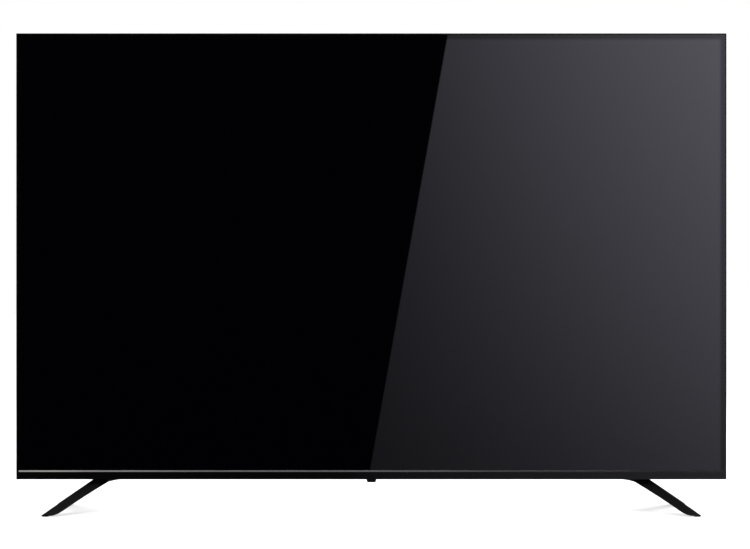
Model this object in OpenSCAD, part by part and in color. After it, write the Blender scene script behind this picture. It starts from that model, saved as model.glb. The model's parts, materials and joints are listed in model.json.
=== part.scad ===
// Flat-screen television on two splayed legs, direct-lit LCD, about 65 inch class.
// Millimetres, +Z up, screen facing -Y, origin on the floor midway between the four feet.
// Depths named d_... are measured back from the front face of the bottom bezel.

/* [Body] */
// Overall width across the side rails
body_w = 1430; // [1400:5:1500]
// Overall height from the underside of the bottom bezel to the top rail
body_h = 898; // [840:1:960]
// Distance from the front face of the bezel back to the middle of the legs
body_setback = 45; // [40:1:50]

/* [Front frame] */
// Thickness of the rails as seen from the front
rail_t = 2; // [1.6:0.1:3]
// Depth of the rails from front edge to rear edge
rail_depth = 11; // [10:0.5:12]
// How far the rails stand back from the bezel front
rail_setback = 1; // [0.6:0.1:1.3]
// Width of the inward flange at the back of each rail
rail_flange_w = 7; // [6:0.5:9]
// Thickness of that flange
rail_flange_t = 1.5; // [1:0.1:2]
// Height of the black part of the bottom bezel
bezel_h = 14.8; // [12:0.2:16]
// Thickness of the bezel's front plate
bezel_t = 1.4; // [1.2:0.1:1.4]
// Thickness of the bezel's floor flange
bezel_floor_t = 2; // [1.5:0.1:2.5]
// Height of the bright trim strip above the bezel
strip_h = 3.4; // [3:0.2:6]
// Thickness of the trim strip
strip_t = 0.9; // [0.7:0.1:1]
// How far the strip's lower edge stands out of the bezel front
strip_crown = 0.8; // [0.5:0.1:1]
// How far the strip's upper edge lies behind the bezel front
strip_lean = 0.5; // [0.2:0.1:0.6]
// Distance from each end of the bezel to the end of the strip
strip_end = 3; // [1:0.5:6]
// Length of the arms of the corner keys
key_len = 40; // [30:1:60]
// Width of the arms of the corner keys
key_w = 4; // [3:0.2:4.4]
// Thickness of the corner keys
key_t = 1.5; // [1:0.1:2]

/* [Screen module] */
// How far the glass stands back from the bezel front
glass_setback = 1.5; // [1.5:0.1:1.8]
// Thickness of the liquid crystal cell with its polarisers
glass_t = 1.8; // [1.4:0.1:2.4]
// Gap round the glass inside the rails
glass_gap = 0.4; // [0.2:0.1:0.8]
// How far the glass is tucked down behind the strip and bezel
glass_tuck = 6.5; // [6:0.1:7.5]
// Thickness of the adhesive foam tape behind the glass
tape_t = 0.7; // [0.6:0.1:1]
// Width of the tape
tape_w = 4; // [3:0.5:5]
// Thickness of the mid frame
mid_t = 1.5; // [1.2:0.1:2]
// Width of the mid frame's flange behind the glass
mid_flange_w = 13; // [12:0.5:16]
// Thickness of the prism film
prism_film_t = 0.4; // [0.3:0.05:0.5]
// Thickness of the spreading film behind it
spread_film_t = 0.3; // [0.2:0.05:0.4]
// Thickness of the diffuser plate
diffuser_t = 2; // [1.5:0.1:2.5]
// Sliding fit between stacked frame pieces
frame_fit = 0.3; // [0.2:0.05:0.4]

/* [Backlight] */
// Optical distance from the diffuser to the reflector
light_gap = 18; // [15:0.5:22]
// Sheet thickness of the pressed steel tray
tray_t = 1; // [0.8:0.1:1.2]
// Width of the tray's rim, which carries the diffuser
tray_rim_w = 9; // [8:0.5:11]
// Thickness of the reflector sheet
reflector_t = 0.5; // [0.3:0.1:0.8]
// Number of light bars, one above the other
led_rows = 6; // [4:1:7]
// Number of lenses on each bar
led_columns = 8; // [6:1:10]
// Height of a light bar
led_bar_h = 16; // [12:1:20]
// Thickness of a light bar
led_bar_t = 1.2; // [1:0.1:1.6]
// Distance from the ends of the bars to the side rails
led_bar_end = 48; // [45:1:70]
// Radius of a light bar lens
lens_r = 9; // [7:0.5:11]
// Height of a lens
lens_h = 6; // [5:0.5:7]
// Base radius of the cones that hold the diffuser off
support_r = 5; // [4:0.5:7]
// Gap between those cones and the diffuser
support_gap = 0.4; // [0.2:0.1:0.8]

/* [Back panel] */
// Wall thickness of the back panel and the rear cover
wall = 2.4; // [2:0.1:3]
// Air gap between the tray and the back panel
panel_gap = 2.6; // [2:0.2:4]
// How far the back panel is set in from the rails
panel_inset = 1; // [0.6:0.1:1.4]
// Chamfer round the back edge of the back panel
panel_chamfer = 8; // [5:0.5:10]
// Distance of the panel's screws from its outer edges
panel_screw_inset = 28; // [24:1:36]

/* [Rear cover] */
// Distance from the body's sides to the base of the rear cover
cover_margin = 130; // [115:1:140]
// Height of the rear cover
cover_h = 540; // [520:5:600]
// Run of the cover's sloping sides
cover_side_run = 26; // [15:1:36]
// Run of the cover's sloping top
cover_top_run = 34; // [20:1:45]
// Chamfer along the cover's lower back edge
cover_chamfer = 14; // [8:1:14]
// Width of the border where the cover stands on the panel
cover_seat = 14; // [10:1:18]
// Clear height over the circuit boards
parts_room = 33; // [30:0.5:40]
// Width of a ventilation slot
vent_w = 4; // [3:0.5:6]
// Height of a ventilation slot
vent_h = 28; // [20:1:34]
// Number of slots in the upper row
vent_top_slots = 71; // [41:2:75]
// Number of slots in the lower row
vent_low_slots = 39; // [21:2:41]
// Distance from the cover's edge to the upper row of slots
vent_top_edge = 165; // [130:5:260]
// Distance from the cover's lower posts to the lower row of slots
vent_low_edge = 72; // [60:1:130]
// Distance of the slots from the cover's back edges
vent_margin = 14; // [10:1:18]

/* [Wall mount] */
// Horizontal spacing of the wall mount holes
vesa_w = 400; // [390:10:410]
// Vertical spacing of the wall mount holes
vesa_h = 300; // [290:10:310]
// Height of the pattern's centre above the body's underside
vesa_z = 300; // [290:5:310]
// Bore radius of the M6 bushes
vesa_bore_r = 3; // [2.5:0.1:4]
// Depth of the bores
vesa_bore_depth = 30; // [20:1:40]
// Outer radius of the bushes
vesa_bush_r = 9; // [7:0.5:11]
// Distance of the bush ends below the cover's back face
vesa_recess = 0.4; // [0.2:0.1:1]

/* [Electronics] */
// Height of the standoffs under the circuit boards
standoff_h = 10; // [8:0.5:12]
// Radius of the standoffs
standoff_r = 3; // [2.5:0.1:4]
// Thickness of the circuit boards
board_t = 1.6; // [1.2:0.1:2]
// Distance of the fixing holes from the board edges
board_hole_inset = 6; // [5:0.5:8]
// Width of the main board
main_w = 215; // [200:1:225]
// Height of the main board
main_h = 226; // [222:1:240]
// Width of the power board
power_w = 215; // [200:1:225]
// Height of the power board
power_h = 200; // [180:1:220]
// Width of the timing board
tcon_w = 200; // [180:1:220]
// Height of the timing board
tcon_h = 64; // [50:1:70]
// Height of the timing board's lower edge above the underside
tcon_z = 68; // [66:1:76]
// Height of the heat sink on the processor
sink_h = 18; // [12:1:24]
// Side of the heat sink
sink_w = 60; // [50:1:70]
// Height of the transformers
transformer_h = 24; // [18:1:26]
// Height of the capacitors
capacitor_h = 25; // [20:1:26]
// Radius of the capacitors
capacitor_r = 9; // [6:0.5:11]
// Thickness of the insulating sheet under the power board
insulation_t = 0.3; // [0.2:0.1:0.6]
// Height of the source boards
source_h = 12; // [10:0.5:14]
// Thickness of the source boards
source_t = 1.2; // [1:0.1:1.4]
// Distance from the outer ends of the source boards to the legs' brackets
source_end = 42; // [30:1:60]
// Number of chip-on-film tails on each source board
tail_count = 6; // [4:1:7]
// Width of a tail
tail_w = 36; // [24:1:44]
// Thickness of a tail
tail_t = 0.3; // [0.2:0.05:0.4]

/* [Connector bays] */
// How far the connector walls stand in from the cover's edge
bay_depth = 90; // [75:1:95]
// Height of the port bay's lower edge above the underside
bay_z = 150; // [140:1:170]
// Height of the port bay
bay_h = 236; // [232:1:250]
// Spacing of the ports in the bay
port_pitch = 25; // [24:0.5:25.5]
// Height of the inlet bay's lower edge above the underside
inlet_bay_z = 190; // [180:1:200]
// Height of the inlet bay
inlet_bay_h = 90; // [80:1:100]
// Clearance round each connector in its window
port_clear = 0.4; // [0.3:0.1:0.8]
// How far connector faces stand out of the wall
port_proud = 0.6; // [0.3:0.1:1]

/* [Speakers] */
// Width of a speaker box
speaker_w = 130; // [110:1:140]
// Height of a speaker box
speaker_h = 86; // [70:1:100]
// Depth of a speaker box
speaker_d = 30; // [26:1:31]
// Distance of the speaker boxes' middle from the cover's edge
speaker_edge = 185; // [175:1:195]
// Half the width of the oblong loudspeaker
driver_r = 12; // [9:0.5:12]
// Length of the oblong loudspeaker
driver_len = 72; // [50:1:80]
// Thickness of the foam ring under each speaker
speaker_ring_t = 3; // [2:0.5:4]

/* [Control pod] */
// Width of the pod at the body's underside
pod_w = 19.8; // [18:0.2:22]
// Width of the pod at its lower face
pod_low_w = 16.6; // [15:0.2:18]
// How far the pod hangs below the body
pod_h = 6.3; // [6.1:0.1:8]
// Rounding of the pod's lower edges
pod_round = 1.8; // [1.6:0.1:2.4]
// Length of the pod front to back
pod_len = 30; // [28:1:34]
// Distance of the pod's front face behind the bezel front
pod_setback = 4; // [2:0.5:6]
// Wall of the pod
pod_wall = 1.4; // [1.2:0.1:1.5]
// Travel of the power button
button_travel = 0.5; // [0.3:0.1:0.6]
// Width of the power button
button_w = 6; // [5:0.2:7]
// Length of the power button
button_len = 13; // [10:0.5:14]

/* [Legs] */
// Height of the body's underside above the floor
leg_h = 66; // [60:1:85]
// Distance from the body's side to the outer edge of a leg at the underside
leg_root_edge = 155; // [149:1:160]
// Distance from the body's side to the outer tip of a leg on the floor
leg_tip_edge = 62; // [35:1:85]
// Width of the leg blades as seen from the front, measured level
leg_blade_w = 27; // [24:0.5:32]
// Length of the leg's root plate, side to side
leg_plate_len = 64; // [60:1:70]
// Distance between the front and rear tips
leg_span = 286; // [240:2:340]
// Length of the flat sole at each tip
leg_sole = 25; // [20:1:30]
// Length of the root plate, front to back
leg_root_len = 48; // [44:1:54]
// Height of the leg's crotch below the underside
leg_crotch = 20; // [14:1:26]
// Extra width of the blades where they meet the root plate
leg_flare = 12.5; // [6:0.5:14]
// Thickness of the root plate beside the blades
leg_throat = 5.5; // [4:0.5:7]
// Extra width of the blades towards the tips
leg_swell = 3; // [0:0.5:4]
// Level width of the tips, outside the rounded heel
leg_tip_flat = 17; // [15:0.5:19]
// Height of the rounded heel
leg_heel = 9; // [6:0.5:10]
// Thickness of the rubber pads
pad_t = 1.6; // [1:0.1:2.5]
// Margin of the pads inside the soles
pad_margin = 3; // [2:0.5:4]
// Height of the tenon that enters the cover
tenon_h = 8; // [7:0.5:10]
// Length of the tenon, front to back
tenon_len = 22; // [20:1:22]
// Clearance round the tenon
tenon_clear = 0.5; // [0.3:0.1:1]
// Thickness of the bracket's block above the tenon
bracket_block_t = 12; // [10:1:16]
// Height of the bracket's upright plate
bracket_h = 82; // [70:1:100]
// Sheet thickness of the bracket's upright plate
bracket_t = 3; // [2:0.2:4]

/* [Fasteners] */
// Shank radius of the small screws
screw_r = 1.5; // [1.2:0.1:1.6]
// Head radius of the small screws
screw_head_r = 3; // [2.6:0.1:3.4]
// Head height of the small screws
screw_head_h = 1.6; // [1.2:0.1:2]
// Depth of the recess round each screw head in the covers
screw_pocket = 1.4; // [1:0.1:1.6]
// Radial clearance of the screws in their holes
screw_clear = 0.15; // [0.1:0.05:0.25]
// Shank radius of the leg screws
leg_screw_r = 2.5; // [2:0.1:3]
// Head radius of the leg screws
leg_head_r = 4.5; // [4:0.1:5]
// Head height of the leg screws
leg_head_h = 3; // [2.5:0.1:3.5]
// Spacing of the two screws of a leg
leg_screw_gap = 14; // [12:0.5:15]

/* [Hidden] */
$fn = 48;
touch = 0.01;

// Outline
half_w = body_w / 2;
z_low = leg_h;
z_high = leg_h + body_h;
through = 1;

// Depth stations, front to back
d_rail_back = rail_setback + rail_depth;
d_tape = glass_setback + glass_t;
d_mid = d_tape + tape_t;
film_slack = 0.1;
d_prism = d_mid + mid_t + film_slack;
d_spread = d_prism + prism_film_t + film_slack;
d_diffuser = d_spread + spread_film_t;
d_rim = d_diffuser + diffuser_t;
d_reflector = d_rim + light_gap;
d_bars = d_reflector + reflector_t;
d_floor = d_bars + led_bar_t;
d_chassis = d_floor + tray_t;
d_panel = d_chassis + panel_gap + wall;
d_board = d_chassis + standoff_h;
d_parts = d_board + board_t;
d_cover = d_parts + parts_room + wall;

// Heights in the bottom edge, where the glass meets the bezel
z_glass = z_low + bezel_h + strip_h - glass_tuck;
tail_drop = 5;
z_tail = z_glass - tail_drop;
mid_drop = 3;
z_mid = z_glass - mid_drop;
rim_rise = 3;
z_rim = z_mid + rim_rise;
sheet_rise = 1;
z_sheet = z_rim + sheet_rise;

// Half widths and top edges of the nested frames
mid_x = half_w - rail_t - frame_fit;
skirt_t = 2;
sheet_gap = 0.5;
rim_x = mid_x - skirt_t - sheet_gap;
sheet_x = rim_x - frame_fit;
mid_top = z_high - rail_t - frame_fit;
rim_top = mid_top - skirt_t - sheet_gap;
sheet_top = rim_top - frame_fit;
well_x = rim_x - tray_rim_w;
well_low = z_rim + tray_rim_w;
well_top = rim_top - tray_rim_w;
glass_x = half_w - rail_t - glass_gap;
glass_top = z_high - rail_t - glass_gap;

// Rear cover and its bays
z_cover = z_low + cover_h;
cover_half = half_w - cover_margin;
bay_x = cover_half - bay_depth;
speaker_x = cover_half - speaker_edge;
bay_low = z_low + bay_z;
bay_high = bay_low + bay_h;
inlet_low = z_low + inlet_bay_z;
inlet_high = inlet_low + inlet_bay_h;
vent_top_z = z_cover - cover_top_run - vent_margin - vent_h;
vent_low_z = z_low + cover_chamfer + vent_margin;
vesa_mid = z_low + vesa_z;

// Circuit boards: [left edge, lower edge, width, height, inset of the left holes]
board_gap = 0.6;
port_hole_inset = 26;
main_z = (bay_low + bay_high - main_h) / 2;
main_box = [-bay_x + wall + board_gap, main_z, main_w, main_h, port_hole_inset];
power_z0 = (inlet_low + inlet_high - power_h) / 2;
power_box = [bay_x - wall - board_gap - power_w, power_z0, power_w, power_h, board_hole_inset];
tcon_box = [-tcon_w / 2, z_low + tcon_z, tcon_w, tcon_h, board_hole_inset];
boards = [main_box, power_box, tcon_box];
standoff_web = 1;
tip_gap = 1;

// Ports, top to bottom, as slots counted down the bay
port_top = (bay_low + bay_high) / 2 + 4 * port_pitch;
usb_slots = [0, 1];
hdmi_slots = [2, 3, 4];
optical_slot = 5;
lan_slot = 6;
antenna_slot = 7;
audio_slots = [8];
port_face = bay_x + port_proud;

// Connector sizes: [width along the bay, height off the board, length]
hdmi_size = [15, 5.8, 12];
usb_size = [13.4, 6, 15];
lan_size = [16.4, 13.6, 18];
optical_size = [12, 11, 13];
antenna_size = [15, 14, 14];
audio_size = [12, 11, 15];
inlet_size = [26, 17, 22];
shell_t = 0.4;
hdmi_cavity = 10;
hdmi_step = 2.2;
usb_cavity = 12;
tongue_t = 1.5;
tongue_side = 1;
lan_hole = [12, 8, 12.5];
lan_latch = [6, 2];
optical_hole = [6.8, 6.8, 8];
audio_bore_r = 1.8;
audio_bore_depth = 13;
antenna_barrel_r = 4.75;
antenna_barrel_len = 9.5;
antenna_bore_r = 1;
antenna_bore_depth = 8;
inlet_lobe_r = 4.5;
inlet_lobe_x = 4.3;
inlet_waist = 6;
inlet_hole_depth = 13;
pin_r = 1.2;
pin_len = 10;

// Legs: their places, the tenon and the two screws of each leg
leg_root_x = half_w - leg_root_edge;
leg_tip_x = half_w - leg_tip_edge;
leg_plate_x = leg_root_x - leg_plate_len;
tenon_margin = 6;
tenon_in = leg_plate_x + tenon_margin;
tenon_out = leg_root_x - tenon_margin;
tenon_lead = 4;
d_tenon = d_panel + tenon_lead;
leg_screw_edge = 4;
leg_screw_x = tenon_in + leg_head_r + leg_screw_edge;
leg_screw_d = [for (s = [-1, 1]) d_tenon + tenon_len / 2 + s * leg_screw_gap / 2];
leg_head_sink = 2;
leg_head_top = z_low + leg_head_sink;
bracket_rear_margin = 2;

// Screw places: [x, z]
side_rows = 3;
side_screw_low = 60;
side_screw_gap = (body_h - panel_screw_inset - side_screw_low) / side_rows;
panel_screws_at = [
  for (x = [-1, -0.5, 0, 0.5, 1]) [x * (half_w - panel_screw_inset), z_high - panel_screw_inset],
  for (s = [-1, 1], k = [0 : side_rows - 1])
    [s * (half_w - panel_screw_inset), z_low + side_screw_low + k * side_screw_gap]
];
post_edge = 285;
post_x = cover_half - post_edge;
post_low_z = 46;
post_top_drop = 66;
posts_at = [
  for (x = [-post_x, post_x])
    each [[x, z_low + post_low_z], [x, z_cover - cover_top_run - post_top_drop]]
];
head_room = 1;
post_r = 6;
post_bore = 12;
tip_reach = 0.8;

// Helpers

// The value a share t of the way from a to b
function between(a, b, t) = a + (b - a) * t;

// Distance back from the bezel front, as a Y coordinate
function depth_y(d) = d - body_setback;

// A block given by its left and right, front and back, low and high faces
module slab(x0, x1, d0, d1, z0, z1) {
  translate([x0, depth_y(d0), z0]) cube([x1 - x0, d1 - d0, z1 - z0]);
}

// A round bar that runs front to back
module rod(x, z, r, d0, d1) {
  translate([x, depth_y(d0), z]) rotate([-90, 0, 0]) cylinder(r = r, h = d1 - d0);
}

// An upright round bar
module post(x, d, r, z0, z1) {
  translate([x, depth_y(d), z0]) cylinder(r = r, h = z1 - z0);
}

// A side profile of [depth, height] points, drawn out from x0 to x1
module drawn_across(points, x0, x1) {
  profile = [for (p = points) [depth_y(p[0]), p[1]]];
  translate([x0, 0, 0]) rotate([90, 0, 90]) linear_extrude(height = x1 - x0) polygon(profile);
}

// A plan of [x, depth] points, drawn up from z0 to z1
module drawn_up(points, z0, z1) {
  plan = [for (p = points) [p[0], depth_y(p[1])]];
  translate([0, 0, z0]) linear_extrude(height = z1 - z0) polygon(plan);
}

// A rectangular ring in the plane of the screen: [left, right, low, high] outside and inside
module ring(outer, inner, d0, d1) {
  difference() {
    slab(outer[0], outer[1], d0, d1, outer[2], outer[3]);
    slab(inner[0], inner[1], d0 - through, d1 + through, inner[2], inner[3]);
  }
}

// The children, and their mirror image across the middle of the set
module both_sides() {
  children();
  mirror([1, 0, 0]) children();
}

// A small pan-head screw whose head seats at depth d_seat and whose tip is at d_tip
module pan_screw(x, z, d_seat, d_tip) {
  rod(x, z, screw_r, d_tip, d_seat + touch);
  rod(x, z, screw_head_r, d_seat, d_seat + screw_head_h);
}

// Front frame

module side_rail(side) {
  color("#101012") mirror([side < 0 ? 1 : 0, 0, 0]) {
    slab(half_w - rail_t, half_w, rail_setback, d_rail_back, z_low, z_high - rail_t);
    slab(half_w - rail_flange_w, half_w - rail_t + touch, d_rail_back - rail_flange_t, d_rail_back,
         z_low + bezel_h + strip_h, z_high - rail_t);
  }
}

module left_rail() { side_rail(-1); }

module right_rail() { side_rail(1); }

module top_rail() {
  color("#101012") {
    slab(-half_w, half_w, rail_setback, d_rail_back, z_high - rail_t, z_high);
    slab(-half_w + rail_flange_w + frame_fit, half_w - rail_flange_w - frame_fit,
         d_rail_back - rail_flange_t, d_rail_back, z_high - rail_flange_w, z_high - rail_t + touch);
  }
}

// L-shaped keys behind the rail flanges that hold the top corners square
module corner_keys() {
  key_x = half_w - panel_inset - wall - frame_fit;
  key_z = z_high - panel_inset - wall - frame_fit;
  color("silver") both_sides() {
    slab(key_x - key_len, key_x, d_rail_back, d_rail_back + key_t, key_z - key_w, key_z);
    slab(key_x - key_w, key_x, d_rail_back, d_rail_back + key_t, key_z - key_len, key_z);
  }
}

bezel_half = half_w - rail_t - 0.1;
bezel_top = z_low + bezel_h + strip_h;

module bottom_bezel() {
  color("#0b0b0d") difference() {
    union() {
      slab(-bezel_half, bezel_half, 0, bezel_t, z_low, bezel_top);
      slab(-bezel_half, bezel_half, 0, d_rail_back, z_low, z_low + bezel_floor_t);
    }
    slab(-bezel_half + strip_end, bezel_half - strip_end, -through, strip_t,
         z_low + bezel_h, bezel_top + through);
  }
}

// Bright metal strip seated in the rebate along the top of the bezel
module trim_strip() {
  strip_half = bezel_half - strip_end - 0.05;
  edge = strip_h / 8;
  z0 = z_low + bezel_h;
  color("#b9b8b2") drawn_across([
    [strip_t, z0], [0, z0], [-strip_crown, z0 + edge], [strip_lean, z0 + strip_h], [strip_t, z0 + strip_h]
  ], -strip_half, strip_half);
}

// Screen module

module lcd_panel() {
  color("#050507") slab(-glass_x, glass_x, glass_setback, d_tape, z_glass, glass_top);
}

// Foam tape that bonds the cell to the mid frame, one strip to a side
module panel_tape() {
  tape_edge = 1.5;
  tape_low = z_glass + 5;
  tape_x = glass_x - tape_edge;
  tape_top = glass_top - tape_edge;
  color("#222222") {
    both_sides() slab(tape_x - tape_w, tape_x, d_tape, d_mid, tape_low, tape_top);
    slab(-tape_x + tape_w + 1, tape_x - tape_w - 1, d_tape, d_mid, tape_top - tape_w, tape_top);
    slab(-tape_x + tape_w + 1, tape_x - tape_w - 1, d_tape, d_mid, tape_low, tape_low + tape_w);
  }
}

module mid_frame() {
  skirt_back = d_rail_back - rail_flange_t - 0.2;
  inner = [-mid_x + mid_flange_w, mid_x - mid_flange_w, z_mid + mid_flange_w, mid_top - mid_flange_w];
  color("#1b1b1d") {
    ring([-mid_x, mid_x, z_mid, mid_top], inner, d_mid, d_mid + mid_t);
    both_sides() slab(mid_x - skirt_t, mid_x, d_mid, skirt_back, z_mid, mid_top);
    slab(-mid_x, mid_x, d_mid, skirt_back, mid_top - skirt_t, mid_top);
  }
}

module optical_films() {
  color("#e8ecf0") {
    slab(-sheet_x, sheet_x, d_prism, d_prism + prism_film_t, z_sheet, sheet_top);
    slab(-sheet_x, sheet_x, d_spread, d_spread + spread_film_t, z_sheet, sheet_top);
  }
}

module diffuser_plate() {
  color("#f4f4f2") slab(-sheet_x, sheet_x, d_diffuser, d_rim, z_sheet, sheet_top);
}

// Backlight

function led_z(row) = well_low + (row + 0.5) * (well_top - well_low) / led_rows;

bar_half = half_w - led_bar_end;

function led_x(column) = -bar_half + (column + 0.5) * 2 * bar_half / led_columns;

module led_bars() {
  color("#f2f2ee") for (row = [0 : led_rows - 1])
    slab(-bar_half, bar_half, d_bars, d_floor, led_z(row) - led_bar_h / 2, led_z(row) + led_bar_h / 2);
}

// Dome lens standing on its bar and facing the diffuser
module led_lens(x, z) {
  base_h = lens_h / 4;
  cap_h = lens_h - base_h;
  cap_r = (lens_r * lens_r + cap_h * cap_h) / (2 * cap_h);
  translate([x, depth_y(d_bars), z]) rotate([90, 0, 0]) {
    cylinder(r = lens_r, h = base_h);
    intersection() {
      translate([0, 0, lens_h - cap_r]) sphere(r = cap_r);
      translate([0, 0, base_h - touch]) cylinder(r = lens_r, h = cap_h + 1);
    }
  }
}

module led_lenses() {
  color("#f8f8ff") for (row = [0 : led_rows - 1], column = [0 : led_columns - 1])
    led_lens(led_x(column), led_z(row));
}

module reflector_sheet() {
  reflector_x = well_x - tray_t - sheet_gap;
  lens_hole_r = lens_r + sheet_gap;
  color("white") difference() {
    slab(-reflector_x, reflector_x, d_reflector, d_bars,
         well_low + tray_t + sheet_gap, well_top - tray_t - sheet_gap);
    for (row = [0 : led_rows - 1], column = [0 : led_columns - 1])
      rod(led_x(column), led_z(row), lens_hole_r, d_reflector - through, d_bars + through);
  }
}

// Cones on the reflector that keep the diffuser from sagging
module diffuser_supports() {
  tip_r = support_r / 4;
  color("white") for (row = [0 : led_rows - 2], column = [0.5 : 2 : led_columns - 1])
    translate([led_x(column), depth_y(d_rim + support_gap), (led_z(row) + led_z(row + 1)) / 2])
      rotate([-90, 0, 0]) cylinder(r1 = tip_r, r2 = support_r, h = light_gap - support_gap);
}

// Pressed steel tray: rim, walls and floor in one sheet, pierced for the screws
module rear_tray() {
  outer_rim = [-rim_x, rim_x, z_rim, rim_top];
  well = [-well_x, well_x, well_low, well_top];
  inside = [-well_x + tray_t, well_x - tray_t, well_low + tray_t, well_top - tray_t];
  color("#8e9296") difference() {
    union() {
      ring(outer_rim, inside, d_rim, d_rim + tray_t);
      ring(well, inside, d_rim, d_chassis);
      slab(-well_x, well_x, d_floor, d_chassis, well_low, well_top);
    }
    for (p = concat(panel_screws_at, bracket_screws_at))
      rod(p[0], p[1], screw_r + screw_clear, d_floor - through, d_chassis + through);
  }
}

// Back panel and rear cover

// Clear hole and head recess for a screw driven in from the face at depth d_face
module screw_way(p, d_face, d_end) {
  rod(p[0], p[1], screw_r + screw_clear, d_end, d_face + through);
  rod(p[0], p[1], screw_head_r + head_room, d_face - screw_pocket, d_face + through);
}

// Outer form of the back panel, shrunk by the given inset
module panel_form(inset) {
  x = half_w - panel_inset - inset;
  top = z_high - panel_inset - inset;
  low = z_low + inset;
  front = inset > 0 ? d_rail_back - through : d_rail_back;
  back = d_panel - inset;
  c = panel_chamfer;
  intersection() {
    drawn_up([[-x, front], [x, front], [x, back - c], [x - c, back], [-x + c, back], [-x, back - c]],
             low, top);
    drawn_across([[front, low], [back, low], [back, top - c], [back - c, top], [front, top]], -x, x);
  }
}

module back_panel() {
  window_x = cover_half - cover_seat;
  color("#17181a") difference() {
    union() {
      difference() {
        panel_form(0);
        panel_form(wall);
      }
      for (p = panel_screws_at)
        rod(p[0], p[1], screw_head_r + wall, d_chassis, d_panel - wall + touch);
    }
    slab(-window_x, window_x, d_chassis, d_panel + through, z_low + wall, z_cover - cover_seat);
    for (p = panel_screws_at) screw_way(p, d_panel, d_floor);
    post(key_lead_x, d_chassis + key_lead_r + lead_lift, key_lead_r + lead_lift * 2, z_low - through,
         z_low + wall + through);
  }
}

// Outer form of the rear cover, shrunk by the given inset
module cover_form(inset) {
  x = cover_half - inset;
  low = z_low + inset;
  top = z_cover - inset;
  front = inset > 0 ? d_panel - through : d_panel;
  back = d_cover - inset;
  base = d_panel;
  c = cover_chamfer;
  intersection() {
    drawn_up([[-x, front], [x, front], [x, base], [x - cover_side_run, back],
              [-x + cover_side_run, back], [-x, base]], low, top);
    drawn_across([[front, low], [back - c, low], [back, low + c], [back, top - cover_top_run],
                  [base, top], [front, top]], -x, x);
  }
}

// Space cut out of the cover's side for a row of connectors, grown by the given wall
module bay_space(side, low, high, grow) {
  floor_d = grow > 0 ? d_panel - through : d_panel + wall;
  mirror([side < 0 ? 1 : 0, 0, 0])
    slab(bay_x - grow, cover_half + through, floor_d, d_cover + through, low - grow, high + grow);
}

// Row of upright slots in the cover's back wall
module vent_row(slots, half, z) {
  for (i = [0 : slots - 1]) {
    x = between(-half, half, i / (slots - 1));
    slab(x - vent_w / 2, x + vent_w / 2, d_cover - wall - through, d_cover + through, z, z + vent_h);
  }
}

// Slots in the cover's floor below a speaker
module speaker_slots() {
  slot_reach = driver_r - speaker_ring_w - slot_w / 2;
  columns = floor((driver_len / 2 - driver_r) / slot_pitch);
  for (i = [-columns : columns])
    slab(speaker_x + i * slot_pitch - slot_w / 2, speaker_x + i * slot_pitch + slot_w / 2,
         d_speaker_mid - slot_reach, d_speaker_mid + slot_reach, z_low - through, z_low + wall + through);
}

module rear_cover() {
  color("#141517") difference() {
    cover_form(0);
    bay_space(-1, bay_low, bay_high, 0);
    bay_space(1, inlet_low, inlet_high, 0);
    difference() {
      cover_form(wall);
      bay_space(-1, bay_low, bay_high, wall);
      bay_space(1, inlet_low, inlet_high, wall);
    }
    vent_row(vent_top_slots, cover_half - vent_top_edge, vent_top_z);
    vent_row(vent_low_slots, post_x - vent_low_edge, vent_low_z);
    both_sides() speaker_slots();
    both_sides() slab(tenon_in - tenon_clear, tenon_out + tenon_clear, d_tenon - tenon_clear,
                      d_tenon + tenon_len + tenon_clear, z_low - through, z_low + wall + through);
    vesa_places() rod(0, 0, vesa_bush_r + port_clear, d_cover - wall - through, d_cover + through);
    for (p = posts_at) screw_way(p, d_cover, d_cover - wall - through);
    port_windows();
  }
}

// Posts that stand on the tray and carry the cover's back wall
module cover_posts() {
  color("#9a9ea2") for (p = posts_at) difference() {
    rod(p[0], p[1], post_r, d_chassis, d_cover - wall);
    rod(p[0], p[1], screw_r + screw_clear, d_cover - wall - post_bore, d_cover);
  }
}

// The screws that hold the back panel and the rear cover, all alike
module back_screws() {
  reach = d_panel - screw_pocket - d_floor + tip_reach;
  color("#2a2a2c") {
    for (p = panel_screws_at) pan_screw(p[0], p[1], d_panel - screw_pocket, d_panel - screw_pocket - reach);
    for (p = posts_at) pan_screw(p[0], p[1], d_cover - screw_pocket, d_cover - screw_pocket - reach);
  }
}

// Wall mount bushes

module vesa_places() {
  for (x = [-vesa_w / 2, vesa_w / 2], z = [-vesa_h / 2, vesa_h / 2])
    translate([x, 0, vesa_mid + z]) children();
}

module vesa_bushes() {
  mouth = d_cover - vesa_recess;
  color("silver") vesa_places() difference() {
    rod(0, 0, vesa_bush_r, d_chassis, mouth);
    rod(0, 0, vesa_bore_r, mouth - vesa_bore_depth, mouth + through);
  }
}

// Electronics

function board_holes(b) = [
  for (x = [b[4], b[2] - board_hole_inset], z = [board_hole_inset, b[3] - board_hole_inset])
    [b[0] + x, b[1] + z]
];

all_board_holes = [for (b = boards) each board_holes(b)];

module circuit_board(b) {
  difference() {
    slab(b[0], b[0] + b[2], d_board, d_parts, b[1], b[1] + b[3]);
    for (p = board_holes(b)) rod(p[0], p[1], screw_r + screw_clear, d_board - through, d_parts + through);
  }
}

module main_board() { color("#0f5132") circuit_board(main_box); }

module power_board() { color("#8a6b2f") circuit_board(power_box); }

module tcon_board() { color("#0f5132") circuit_board(tcon_box); }

module board_standoffs() {
  color("silver") for (p = all_board_holes) difference() {
    rod(p[0], p[1], standoff_r, d_chassis, d_board);
    rod(p[0], p[1], screw_r + screw_clear, d_chassis + standoff_web, d_board + through);
  }
}

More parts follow.
